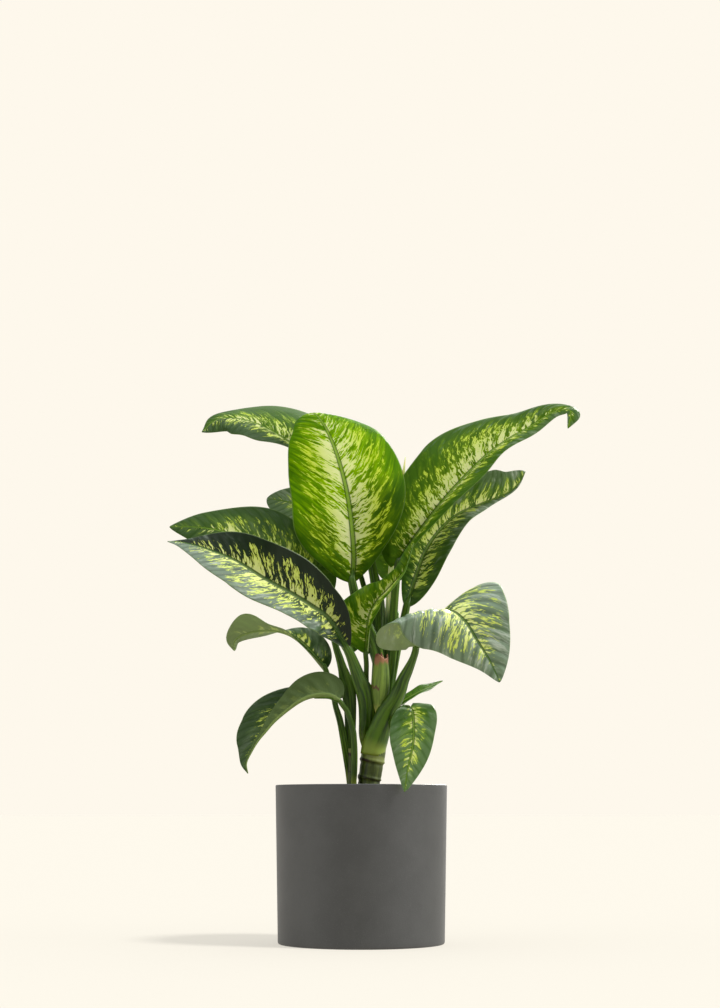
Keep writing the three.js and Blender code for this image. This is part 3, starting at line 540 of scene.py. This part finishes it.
def make_blade(shell, leaf, look, seed):
    length = Path(leaf["rib"]).length
    rows = int(np.clip(length / ROW_SPACING, FEWEST_ROWS, MOST_ROWS))
    t = np.linspace(0, 1, rows)
    u = 0.0015 + 0.997 * (0.6 * t + 0.4 * (0.5 - 0.5 * np.cos(math.pi * t)))
    frames = rib_frames(leaf, u)
    rib_core = 0.6 * leaf["girth"][-1] * (1 - u) ** 0.6 + 0.25
    fractions = np.linspace(0, 1, HALF_COLUMNS) ** 0.95
    sides = []
    for half in (0, 1):
        sides.append(half_blade(leaf, half, u, frames, rib_core, fractions))
    # one sheet from the right margin, over the midrib, to the left margin
    points = np.concatenate([sides[1][0][:, :0:-1], sides[0][0]], 1)
    distance = np.concatenate([sides[1][1][:, :0:-1], sides[0][1]], 1)
    share = np.concatenate([-sides[1][2][:, :0:-1], sides[0][2]], 1)
    columns = points.shape[1]
    ahead = np.gradient(points, axis=0)
    across = np.gradient(points, axis=1)
    normal = unit(np.cross(ahead, across))
    on_left = share > 0
    phase = vein_phase(u, length, distance, on_left, look)
    phase = phase + np.where(share < 0, 0.43, 0) + seed * 0.31
    core = rib_core[:, None]
    away = np.clip((distance - 1.2 * core) / 6, 0, 1)
    fade = away * np.clip((1 - np.abs(share)) * 3.2, 0, 1)
    swell = look["quilt"] * (0.5 - 0.5 * np.cos(2 * math.pi * phase)) ** 0.8
    to_vein = phase - np.round(phase)
    groove = GROOVE_DEPTH * np.exp(-((to_vein / GROOVE_WIDTH) ** 2))
    relief = fade * (swell - groove) * np.clip(length / 160, 0.4, 1)
    channel = -CHANNEL_DEPTH * np.exp(-((distance / (0.8 * core)) ** 2)) * core / 2.5
    keel = core * 1.5 * np.sqrt(np.clip(1 - (distance / (1.35 * core)) ** 2, 0, 1))
    keel = keel * (1 - u[:, None]) ** 0.3
    thick = BLADE_THICKNESS / 2 * (0.55 + 0.45 * np.clip((1 - np.abs(share)) * 4, 0, 1))
    top = points + normal * (thick + relief + channel)[..., None]
    bottom = points + normal * (-thick + relief - keel)[..., None]

    def layer(*parts):
        """A vector attribute from grids and from the look's numbers for the two halves."""
        grids = [np.where(on_left, *for_halves(look[part])) if isinstance(part, str) else part
                 for part in parts]
        return np.tile(np.stack(grids, -1).reshape(-1, 3), (2, 1))

    upper_faces = grid_faces(rows, columns, flip=True)
    lower_faces = grid_faces(rows, columns)
    size = rows * columns
    index = np.arange(size).reshape(rows, columns)
    rim = np.concatenate([index[0, :-1], index[:-1, -1], index[-1, :0:-1], index[:0:-1, 0]])
    step = np.roll(rim, -1)
    rim_faces = np.stack([rim, step, step + size, rim + size], 1)
    both = np.concatenate([top.reshape(-1, 3), bottom.reshape(-1, 3)])
    first = shell.count
    shell.add(both, [*upper_faces, *rim_faces], 0,
              place=layer(np.broadcast_to(u[:, None], share.shape), share, distance * 0.01),
              vein=layer(phase * 0.1, np.full(share.shape, seed * 0.173), distance / core * 0.1),
              look=layer("cream", "reach", "hue_and_shade"),
              wax=layer("painted_sheen", "sheen_from", "depth"),
              strand=layer(phase * look["veins"] / 110, "shade_end", share))
    shell.faces += [tuple(int(i) + size + first for i in face) for face in lower_faces]
    shell.slots += [1] * len(lower_faces)


def make_leaf(leaf, seed, materials):
    look = {**PLAIN_LOOK, **LOOKS[leaf["name"]]}
    shell = Shell()
    make_blade(shell, leaf, look, seed)
    merge = np.array([0.02, 0.08, 0.2])
    rib, centre, _, up, _ = rib_frames(leaf, merge)
    end = leaf["girth"][-1]
    under = centre - up * (end * np.array([0.35, 0.75, 0.9]))[:, None]
    path = Path([*leaf["stalk"], leaf["rib"][0], *under.tolist()])
    shares = np.linspace(0, 1, int(path.length / 3) + 2)
    joined = 1 - 0.2 * rib.length / path.length
    girth = smooth(leaf["girth"], np.clip(shares / joined, 0, 1))
    girth = girth * np.where(shares > joined, 1 - 0.75 * (shares - joined) / (1 - joined), 1)
    section = stalk_section(0.62 * joined)
    tube(shell, path, shares, girth, 2, section, seed * 0.37, face=up[-1], sides=STALK_SIDES)
    finish_piece(shell, leaf["name"], materials)


def finish_piece(shell, node, materials):
    piece = shell.build("visual_" + node, materials)
    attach(piece, "root")
    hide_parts(node)


# ---- canes, sheath and new leaf


def make_cane(name, cane, materials):
    path = Path(cane["path"])
    shares = np.linspace(0, 1, int(path.length / 1.2))
    heights = path.at(shares)[:, 2]
    girth = smooth(cane["girth"], shares)
    for ring in cane["rings"]:
        ridge = 1.1 * np.exp(-(((heights - ring) / 1.6) ** 2))
        dip = 0.5 * np.exp(-(((heights - ring + 4) / 1.8) ** 2))
        girth = girth + ridge - dip
    shell = Shell()
    tube(shell, path, shares, girth, 0, lambda a, s: 1 + 0.015 * np.sin(3 * a + 9 * s), 0.2)
    finish_piece(shell, name, materials)


def make_rolled_leaf(stem, materials):
    path = Path(stem["path"])
    shares = np.linspace(0, 1, int(path.length / 2.5))
    girth = smooth(stem["girth"], shares)

    def rolled(angle, share):
        turn = (angle / (2 * math.pi) + 0.12 * share) % 1.0
        return 0.86 + 0.26 * turn**3

    shell = Shell()
    tube(shell, path, shares, girth, 0, rolled, 0.6)
    finish_piece(shell, "rolled_leaf", materials)


def make_spent_sheath(stem, materials):
    """A stub that is closed below and torn open at the top, with a papery rim."""
    path = Path(stem["path"])
    sides, depth, notches, slices = TUBE_SIDES, 0.35, 12, 60
    outer_rows, inner_rows = 44, 15
    low = np.random.default_rng(7).uniform(0, 1, notches)
    around = np.linspace(0, 1, sides, endpoint=False)
    torn = 1 - 0.13 * np.interp(around, np.linspace(0, 1, notches + 1), [*low, low[0]])
    outer = np.linspace(0, 1, outer_rows)
    inner = 1 - depth * np.linspace(0, 1, inner_rows + 1)[1:]
    shares = np.concatenate([outer, inner])[:, None] * torn
    inward = np.concatenate([np.zeros(outer_rows), np.linspace(0.9, 1.3, inner_rows)])
    angles = np.linspace(0, 2 * math.pi, sides, endpoint=False)
    forward, front = carried_frames(path, np.linspace(0, 1, slices), (0, -1, 0))
    left = np.cross(forward, front)
    pick = np.clip((shares * (slices - 1)).astype(int), 0, slices - 1)
    radius = smooth(stem["girth"], shares) * (1 + 0.05 * np.cos(5 * angles)) - inward[:, None]
    points = path.at(shares) + radius[..., None] * (np.cos(angles)[:, None] * front[pick]
                                                    + np.sin(angles)[:, None] * left[pick])
    rows = len(shares)
    faces = [*grid_faces(rows, sides, closed=True), tuple(range(sides))[::-1],
             tuple((rows - 1) * sides + k for k in range(sides))]
    shell = Shell()
    grain = np.stack([np.tile(angles / (2 * math.pi), rows), (shares * path.length * MM).ravel(),
                      np.repeat(inward, sides)], 1)
    spot = np.stack([shares.ravel(), np.repeat(inward > 0, sides), np.zeros(rows * sides)], 1)
    shell.add(points, faces, 0, grain=grain, spot=spot)
    finish_piece(shell, "spent_sheath", materials)


# ---- pot and soil


def turned_points(profile, sides):
    """Rings of points from a profile of (radius, height) and the faces between them."""
    profile = np.asarray(profile, float)
    angles = np.linspace(0, 2 * math.pi, sides, endpoint=False)
    ring = np.stack([np.cos(angles), np.sin(angles)], 1)
    rise = np.broadcast_to(profile[:, 1:, None], (len(profile), sides, 1))
    points = np.concatenate([profile[:, :1, None] * ring, rise], 2)
    return points, grid_faces(len(profile), sides, closed=True)


def arc(centre, radius, start, stop):
    """Points of a round corner in (radius, height), angles in degrees."""
    turn = np.radians(np.linspace(start, stop, CORNER_POINTS))
    return [(centre[0] + radius * math.cos(a), centre[1] + radius * math.sin(a)) for a in turn]


def pot_radius(z):
    return POT["foot_radius"] + (POT["top_radius"] - POT["foot_radius"]) * z / POT["height"]


def make_pot(material):
    """One closed turned skin, from the underside over the rim to the floor inside."""
    lip, wall, height, floor = POT["edge"], POT["wall"], POT["height"], POT["floor"]
    foot_corner, floor_corner = 2.4, 8
    hub, middle, foot_edge, wall_start = 0.5, 40, POT["foot_radius"] - 6, 6
    top = pot_radius(height)
    skin = [(hub, 0), (middle, 0), (foot_edge, 0)]
    skin += arc((pot_radius(foot_corner) - foot_corner, foot_corner), foot_corner, -90, 0)
    skin += [(pot_radius(z), z) for z in np.linspace(wall_start, height - lip, 40)[:-1]]
    skin += arc((top - lip, height - lip), lip, 0, 90)
    skin += arc((top - wall + lip, height - lip), lip, 90, 180)
    skin += [(pot_radius(z) - wall, z) for z in np.linspace(height - lip, floor + floor_corner, 24)[1:]]
    skin += arc((pot_radius(floor) - wall - floor_corner, floor + floor_corner), floor_corner, 0, -90)
    skin += [(middle, floor), (hub, floor)]
    points, faces = turned_points(skin, POT_SIDES)
    last = (len(skin) - 1) * POT_SIDES
    caps = [tuple(range(POT_SIDES))[::-1], tuple(last + k for k in range(POT_SIDES))]
    piece = add_mesh("visual_pot", points.reshape(-1, 3), [*faces, *caps], [material])
    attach(piece, "root")
    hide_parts("pot")
    return piece


# ---- materials


class Nodes:
    """A short way to write the node tree of a material or a world."""

    def __init__(self, owner):
        owner.use_nodes = True
        self.owner = owner
        self.tree = owner.node_tree
        self.tree.nodes.clear()

    def add(self, kind, inputs=None, **settings):
        node = self.tree.nodes.new(kind)
        for key, value in settings.items():
            setattr(node, key, value)
        for key, value in (inputs or {}).items():
            self.put(node.inputs[key], value)
        return node

    def put(self, socket, value):
        if isinstance(value, bpy.types.NodeSocket):
            self.tree.links.new(value, socket)
        elif isinstance(value, bpy.types.Node):
            self.tree.links.new(value.outputs[0], socket)
        else:
            socket.default_value = value

    def math(self, operation, *values):
        return self.add("ShaderNodeMath", dict(enumerate(values)), operation=operation).outputs[0]

    def plus(self, a, b):
        return self.math("ADD", a, b)

    def minus(self, a, b):
        return self.math("SUBTRACT", a, b)

    def times(self, a, b):
        return self.math("MULTIPLY", a, b)

    def step(self, value, low, high, to_low=0.0, to_high=1.0):
        """Smooth rise of value from to_low at low to to_high at high."""
        ends = {"Value": value, "From Min": low, "From Max": high, "To Min": to_low, "To Max": to_high}
        return self.add("ShaderNodeMapRange", ends, interpolation_type="SMOOTHSTEP").outputs[0]

    def mix(self, factor, a, b):
        node = self.add("ShaderNodeMix", data_type="RGBA")
        self.put(node.inputs[0], factor)
        self.put(node.inputs[6], a)
        self.put(node.inputs[7], b)
        return node.outputs[2]

    def split(self, name):
        """The three parts of a vector attribute."""
        source = self.add("ShaderNodeAttribute", attribute_name=name, attribute_type="GEOMETRY")
        return self.add("ShaderNodeSeparateXYZ", {0: source.outputs["Vector"]}).outputs

    def join(self, x, y, z):
        return self.add("ShaderNodeCombineXYZ", {0: x, 1: y, 2: z}).outputs[0]

    def noise(self, place, scale, detail=2.0, rough=0.5):
        return self.add("ShaderNodeTexNoise", {"Vector": place, "Scale": scale, "Detail": detail,
                        "Roughness": rough}).outputs["Fac"]

    def bump(self, height, distance, strength):
        inputs = {"Height": height, "Distance": distance, "Strength": strength}
        return self.add("ShaderNodeBump", inputs).outputs[0]

    def gloss(self, colour, roughness, **more):
        """The output of a principled surface; more holds other sockets, with _ for each space."""
        inputs = {"Base Color": colour, "Roughness": roughness}
        inputs.update({key.replace("_", " "): value for key, value in more.items()})
        return self.add("ShaderNodeBsdfPrincipled", inputs).outputs[0]

    def output(self, shader):
        self.add("ShaderNodeOutputMaterial", {"Surface": shader})
        return self.owner


def material_nodes(name):
    """The node tree of a new material, which its output gives back."""
    return Nodes(bpy.data.materials.new(name))


def rgb(red, green, blue):
    """A colour as seen on screen, 0 to 255, in the linear values that shaders use."""
    levels = [c / 255 for c in (red, green, blue)]
    return (*[c / 12.92 if c <= 0.04045 else ((c + 0.055) / 1.055) ** 2.4 for c in levels], 1.0)


def leaf_colour(n, under):
    """Green with cream streaks that follow the side veins, dense at the midrib, none at the margin, under
    painted shade and painted sheen.
    """
    u, v, distance = n.split("place")
    phase, seed, core = n.split("vein")
    cream, reach, hue_and_shade = n.split("look")
    painted_sheen, sheen_start, depth = n.split("wax")
    grain_line, shade_end, _ = n.split("strand")
    # painted shade: how much the blade is darkened, up to a set share of the way from its base
    depth = n.times(depth, n.step(n.minus(u, shade_end), 0.1, -0.1))
    away = n.math("ABSOLUTE", v)
    q = n.times(phase, 10.0)
    g = n.times(grain_line, 10.0)
    out = n.times(distance, 100.0)
    side = n.plus(seed, n.times(n.math("SIGN", v), 3.7))

    def across(scale, outward, detail, rough):
        """Noise drawn out along the side veins: scale across them, outward along them."""
        place = n.join(n.times(g_bent, scale), n.times(out, outward), side)
        return n.minus(n.noise(place, 1.0, detail, rough), 0.5)

    bend = n.noise(n.join(n.times(g, 0.8), n.times(out, 0.08), side), 1.0, 2.0, 0.5)
    g_bent = n.plus(g, n.times(bend, 0.9))
    streak = across(2.6, 0.05, 3.0, 0.6)
    tongue = across(1.0, 0.02, 1.0, 0.5)
    fine = across(6.0, 0.14, 2.0, 0.6)
    # how much cream to expect: most at the midrib, none past reach or close to either end
    edge = n.math("DIVIDE", away, reach)
    ends = n.plus(n.step(u, 0.14, 0.0), n.step(u, 0.6, 0.93))
    expect = n.minus(n.times(cream, 1.5), n.times(n.math("POWER", edge, 1.5), 1.9))
    expect = n.minus(n.minus(expect, n.times(ends, 1.6)), 0.55)
    expect = n.minus(expect, n.times(n.step(edge, 0.95, 1.35), 1.5))
    texture = n.plus(n.times(streak, 10.0), n.times(tongue, 4.5))
    field = n.plus(expect, n.plus(texture, n.times(fine, 9.0)))
    # the greens run from yellowish and bright to bluish and dark; the darker end is partly the leaf's own
    # green and partly painted shade for a leaf that gets little light
    dark = n.mix(hue_and_shade, rgb(82, 134, 0), rgb(20, 42, 20))
    light = n.mix(hue_and_shade, rgb(150, 196, 0), rgb(62, 94, 48))
    mottle = n.plus(across(1.4, 0.04, 4.0, 0.65), 0.5)
    green = n.mix(n.step(n.plus(n.times(mottle, 1.2), n.times(field, 0.06)), 0.35, 0.8),
                  dark, light)
    # painted shade: the green darkens towards near-black, standing in for cast shadows and shaded folds
    green = n.mix(depth, green, rgb(14, 26, 8))
    line = n.math("ABSOLUTE", n.minus(n.math("FRACT", n.plus(q, 0.5)), 0.5))
    # painted shade: the green darkens along each side vein, standing in for the shade in its groove
    vein = n.step(line, 0.2, 0.02)
    green = n.mix(n.times(vein, 0.4), green, n.mix(hue_and_shade, rgb(44, 84, 0), rgb(16, 34, 14)))
    # painted sheen: a pale grey-green on the swellings between side veins, more towards margin and tip, with
    # whiter streaks of painted highlight, standing in for the reflection of the light above
    cloud = across(0.7, 0.05, 3.0, 0.6)
    # streaks of painted highlight within the painted sheen
    highlight_streaks = n.step(n.plus(n.times(across(5.0, 0.06, 4.0, 0.7), 0.7), cloud), 0.0, 0.3)
    reached = n.plus(n.plus(n.times(away, 0.3), n.times(u, 0.7)), cloud)
    spread = n.step(n.minus(reached, sheen_start), -0.05, 0.45)
    crest = n.step(line, 0.03, 0.3, 0.55, 1.0)
    wax = n.times(n.times(painted_sheen, spread), crest)
    # the painted sheen, then its whiter painted highlight streaks
    green = n.mix(n.times(wax, 0.9), green, rgb(132, 152, 128))
    green = n.mix(n.times(n.times(wax, highlight_streaks), 0.7), green, rgb(232, 238, 228))
    yellow = n.mix(hue_and_shade, rgb(190, 218, 24), rgb(204, 220, 72))
    pale = n.mix(n.step(edge, 0.8, 0.05), n.mix(hue_and_shade, rgb(218, 232, 70), rgb(222, 232, 116)),
                 n.mix(hue_and_shade, rgb(244, 246, 184), rgb(234, 238, 156)))
    colour = n.mix(n.step(field, -0.08, 0.08), green, yellow)
    colour = n.mix(n.step(field, 0.1, 0.9), colour, pale)
    # painted shade laid over the whole colour, cream included
    colour = n.mix(n.times(depth, 0.14), colour, rgb(40, 60, 20))
    # the midrib: paler along its middle and dark olive at its sides, partly its own colour and partly a
    # painted highlight along the middle with painted shade at the sides
    rib = n.step(core, 0.14, 0.105)
    rib_highlight = n.step(core, 0.1, 0.03)
    rib_colour = n.mix(rib_highlight, rgb(40, 74, 8), n.mix(hue_and_shade, rgb(140, 180, 48), rgb(70, 104, 44)))
    colour = n.mix(n.times(rib, 0.92), colour, rib_colour)
    colour = n.mix(n.step(away, 0.975, 0.995, 0.0, 0.5), colour, rgb(140, 168, 84))
    if under:
        pale_under = n.mix(0.75, colour, rgb(150, 166, 112))
        # painted shade on the underside as well
        pale_under = n.mix(n.times(depth, 1.2), pale_under, rgb(58, 82, 34))
        colour = n.mix(n.step(core, 0.12, 0.08), pale_under, rgb(130, 150, 84))
    return colour, q, out


def make_leaf_material(name, roughness, specular, under=False, through_share=0.5, through_gamma=0.52):
    """A glossy surface, mixed with the light that shines through the blade from behind."""
    n = material_nodes(name)
    colour, q, out = leaf_colour(n, under)
    line = n.math("ABSOLUTE", n.minus(n.math("FRACT", n.times(q, 7.0)), 0.5))
    grain = n.noise(n.join(n.times(q, 14.0), n.times(out, 0.5), 0.0), 1.0, 3.0, 0.6)
    height = n.plus(n.times(line, 0.35), grain)
    normal = n.bump(height, 0.0003, 0.5)
    gloss = n.gloss(colour, roughness, IOR=1.36, Normal=normal, Specular_IOR_Level=specular)
    through = n.add("ShaderNodeGamma", {"Color": colour, "Gamma": through_gamma}).outputs[0]
    lit = n.add("ShaderNodeBsdfTranslucent", {"Color": through, "Normal": normal})
    mixed = n.add("ShaderNodeMixShader", {0: through_share, 1: gloss, 2: lit.outputs[0]})
    return n.output(mixed.outputs[0])


def make_stalk_material():
    n = material_nodes("stalk")
    around, along, mark = n.split("grain")
    share = n.split("spot")[0]
    streak = n.noise(n.join(n.times(around, 14.0), n.times(along, 18.0), mark), 1.0, 3.0, 0.55)
    green = n.mix(n.step(streak, 0.3, 0.7), rgb(28, 56, 0), rgb(84, 116, 24))
    foot = n.step(share, 0.13, 0.03)
    colour = n.mix(n.times(foot, 0.8), green, rgb(146, 164, 66))
    normal = n.bump(streak, 0.0004, 0.4)
    return n.output(n.gloss(colour, 0.42, Normal=normal, Specular_IOR_Level=0.3,
                            Subsurface_Weight=0.1, Subsurface_Scale=0.003))


def make_cane_material():
    n = material_nodes("cane")
    around, along, mark = n.split("grain")
    where = n.add("ShaderNodeNewGeometry").outputs["Position"]
    blotch = n.noise(where, 90.0, 4.0, 0.6)
    streak = n.noise(n.join(n.times(around, 16.0), n.times(along, 30.0), mark), 1.0, 3.0, 0.6)
    colour = n.mix(n.step(streak, 0.3, 0.7), rgb(42, 54, 8), rgb(82, 96, 26))
    colour = n.mix(n.step(blotch, 0.55, 0.75, 0.0, 0.5), colour, rgb(98, 108, 50))
    # a torn scar on the left, above it a pale lip, and an older scar lower down
    x, _, z = n.add("ShaderNodeSeparateXYZ", {0: where}).outputs
    slant = n.minus(z, n.times(x, -0.35))
    left = n.step(x, 0.014, 0.006)

    def band(centre, width):
        off = n.math("ABSOLUTE", n.minus(slant, centre))
        return n.step(off, width, width * 0.4)

    colour = n.mix(n.times(band(0.2165, 0.006), 0.6), colour, rgb(142, 152, 78))
    colour = n.mix(n.times(band(0.2105, 0.0022), left), colour, rgb(44, 24, 14))
    colour = n.mix(n.times(band(0.1905, 0.0014), 0.7), colour, rgb(34, 36, 14))
    normal = n.bump(n.plus(streak, blotch), 0.0006, 0.5)
    return n.output(n.gloss(colour, 0.5, Normal=normal))


def make_husk_material():
    n = material_nodes("husk")
    around, along, _ = n.split("grain")
    share = n.split("spot")[0]
    streak = n.noise(n.join(n.times(around, 12.0), n.times(along, 25.0), 0.3), 1.0, 4.0, 0.6)
    green = n.mix(n.step(streak, 0.35, 0.65), rgb(66, 92, 20), rgb(118, 142, 46))
    colour = n.mix(n.step(share, 0.22, 0.0), green, rgb(190, 190, 100))
    ragged = n.plus(share, n.times(n.minus(streak, 0.5), 0.35))
    scar = n.step(n.math("ABSOLUTE", n.minus(ragged, 0.44)), 0.035, 0.01)
    colour = n.mix(n.times(scar, n.step(n.math("ABSOLUTE", n.minus(around, 0.95)), 0.16, 0.1)),
                   colour, rgb(92, 54, 34))
    colour = n.mix(n.step(ragged, 0.8, 0.86), colour, rgb(150, 100, 66))
    colour = n.mix(n.step(ragged, 0.92, 1.0), colour, rgb(104, 52, 34))
    normal = n.bump(streak, 0.0006, 0.6)
    return n.output(n.gloss(colour, 0.55, Normal=normal))


def make_rolled_material():
    n = material_nodes("new_leaf")
    around, along, _ = n.split("grain")
    share = n.split("spot")[0]
    streak = n.noise(n.join(n.times(around, 20.0), n.times(along, 22.0), 0.9), 1.0, 3.0, 0.55)
    colour = n.mix(n.step(streak, 0.5, 0.62), rgb(232, 236, 168), rgb(176, 204, 74))
    edge = n.math("ABSOLUTE", n.minus(around, 0.62))
    colour = n.mix(n.step(edge, 0.1, 0.04), colour, rgb(120, 168, 30))
    stalk_green = n.mix(n.step(streak, 0.4, 0.6), rgb(34, 62, 6), rgb(78, 110, 30))
    colour = n.mix(n.step(share, 0.46, 0.34), colour, stalk_green)
    return n.output(n.gloss(colour, 0.4, Subsurface_Weight=0.3, Subsurface_Scale=0.004))


def make_pot_material():
    n = material_nodes("pot_glaze")
    where = n.add("ShaderNodeNewGeometry").outputs["Position"]
    cloud = n.noise(where, 22.0, 4.0, 0.6)
    speck = n.noise(where, 900.0, 2.0, 0.6)
    colour = n.mix(n.step(cloud, 0.3, 0.7), rgb(66, 66, 65), rgb(72, 72, 71))
    colour = n.mix(n.step(speck, 0.58, 0.72, 0.0, 0.35), colour, rgb(92, 92, 90))
    normal = n.bump(n.plus(speck, n.times(cloud, 2.0)), 0.00025, 0.5)
    return n.output(n.gloss(colour, 0.52, Normal=normal))


def make_soil_material():
    n = material_nodes("potting_mix")
    where = n.add("ShaderNodeNewGeometry").outputs["Position"]
    lump = n.noise(where, 160.0, 5.0, 0.7)
    colour = n.mix(n.step(lump, 0.35, 0.65), rgb(38, 27, 19), rgb(92, 68, 48))
    normal = n.bump(lump, 0.004, 1.0)
    return n.output(n.gloss(colour, 0.95, Normal=normal))


# ---- stage

BACKDROP = rgb(254, 248, 236)
FLOOR_GLOW = 0.6  # the share of the floor's paleness that takes no shadow
FLOOR_TINT = (0.1399, 0.1316, 0.1149)  # the rest, so that an open floor is as pale as the backdrop


def make_world():
    """Lights that are alike all over the floor: a pale surround, brighter behind and above."""
    world = bpy.data.worlds.new("studio")
    n = Nodes(world)

    def vector(operation, inputs):
        return n.add("ShaderNodeVectorMath", inputs, operation=operation).outputs

    way = n.add("ShaderNodeTexCoord").outputs["Generated"]
    glow = None
    # direction, where the light starts and is full (cosines to the direction), strength, colour
    for direction, rim, core, strength, colour in (
        ((0.0, 1.0, 0.1), -0.2, 0.9, 0.75, (1.0, 0.98, 0.94)),
        ((0.1, 0.1, 1.0), 0.45, 0.97, 2.4, (0.92, 0.98, 1.0)),
        ((-0.9, -0.35, 0.25), 0.75, 0.98, 1.2, (1, 1, 1)),
        ((0.9, -0.4, 0.2), 0.82, 0.98, 1.5, (1, 1, 1)),
    ):
        facing = vector("DOT_PRODUCT", {0: way, 1: Vector(direction).normalized()})
        share = n.step(facing["Value"], rim, core, 0.0, strength)
        part = vector("SCALE", {0: colour, "Scale": share})[0]
        glow = part if glow is None else vector("ADD", {0: glow, 1: part})[0]
    glow = vector("ADD", {0: glow, 1: (0.05, 0.05, 0.05)})[0]
    light = n.add("ShaderNodeBackground", {"Color": glow})
    seen = n.add("ShaderNodeBackground", {"Color": BACKDROP})
    camera_ray = n.add("ShaderNodeLightPath").outputs["Is Camera Ray"]
    mixed = n.add("ShaderNodeMixShader", {0: camera_ray, 1: light.outputs[0], 2: seen.outputs[0]})
    n.add("ShaderNodeOutputWorld", {"Surface": mixed.outputs[0]})
    bpy.context.scene.world = world


def make_sun(name, direction, strength, angle, colour, floor, on_floor):
    """A far light, either on the floor alone or on everything but the floor."""
    data = bpy.data.lights.new(name, "SUN")
    data.energy = strength
    data.angle = math.radians(angle)
    data.color = colour
    light = bpy.data.objects.new(name, data)
    light.rotation_euler = Vector(direction).to_track_quat("Z", "Y").to_euler()
    bpy.context.scene.collection.objects.link(light)
    group = bpy.data.collections.new(name + "_reach")
    group.objects.link(floor)
    group.collection_objects[0].light_linking.link_state = "INCLUDE" if on_floor else "EXCLUDE"
    light.light_linking.receiver_collection = group
    return light


def make_stage(pot):
    bpy.context.scene.view_settings.view_transform = "Standard"
    make_world()
    n = material_nodes("floor")
    plain = n.add("ShaderNodeBsdfDiffuse", {"Color": (*FLOOR_TINT, 1)})
    glow = n.add("ShaderNodeEmission", {"Color": BACKDROP, "Strength": FLOOR_GLOW})
    both = n.add("ShaderNodeAddShader", {0: plain.outputs[0], 1: glow.outputs[0]})
    floor_material = n.output(both.outputs[0])
    reach = 60000
    corners = [(-reach, -reach, 0), (reach, -reach, 0), (reach, reach, 0), (-reach, reach, 0)]
    floor = add_mesh("floor", corners, [(0, 1, 2, 3)], [floor_material])
    make_sun("behind", (0.4, 0.95, 0.62), 5.0, 8, (1.0, 0.98, 0.92), floor, False)
    make_sun("right", (1.0, -0.12, 0.95), 2.2, 14, (1.0, 0.99, 0.97), floor, False)
    # the floor's shadow is the pot's alone
    shadow = make_sun("shadow", (1.0, -0.45, 1.15), 6.0, 12, (1.0, 1.0, 1.0), floor, True)
    blockers = bpy.data.collections.new("shadow_blockers")
    blockers.objects.link(pot)
    shadow.light_linking.blocker_collection = blockers


# ---- the whole object


def build():
    make_camera()
    upper = {
        "bright": make_leaf_material("leaf_bright", specular=0.06, roughness=0.5,
                                     through_share=0.55, through_gamma=0.5),
        "plain": make_leaf_material("leaf_plain", specular=0.2, roughness=0.45),
        "waxy": make_leaf_material("leaf_waxy", specular=0.55, roughness=0.4, through_share=0.3),
    }
    lower = make_leaf_material("leaf_lower", under=True, roughness=0.6, specular=0.25, through_share=0.3)
    stalk = make_stalk_material()
    cane = make_cane_material()
    for seed, leaf in enumerate(LEAVES):
        make_leaf(leaf, seed, [upper[LOOKS[leaf["name"]].get("face", "plain")], lower, stalk])
    for name in ("main_cane", "side_cane"):
        make_cane(name, STEMS[name], [cane])
    make_rolled_leaf(STEMS["rolled_leaf"], [make_rolled_material()])
    make_spent_sheath(STEMS["spent_sheath"], [make_husk_material()])
    pot = make_pot(make_pot_material())
    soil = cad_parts["soil"]
    soil.data.materials.clear()
    soil.data.materials.append(make_soil_material())
    make_stage(pot)


build()
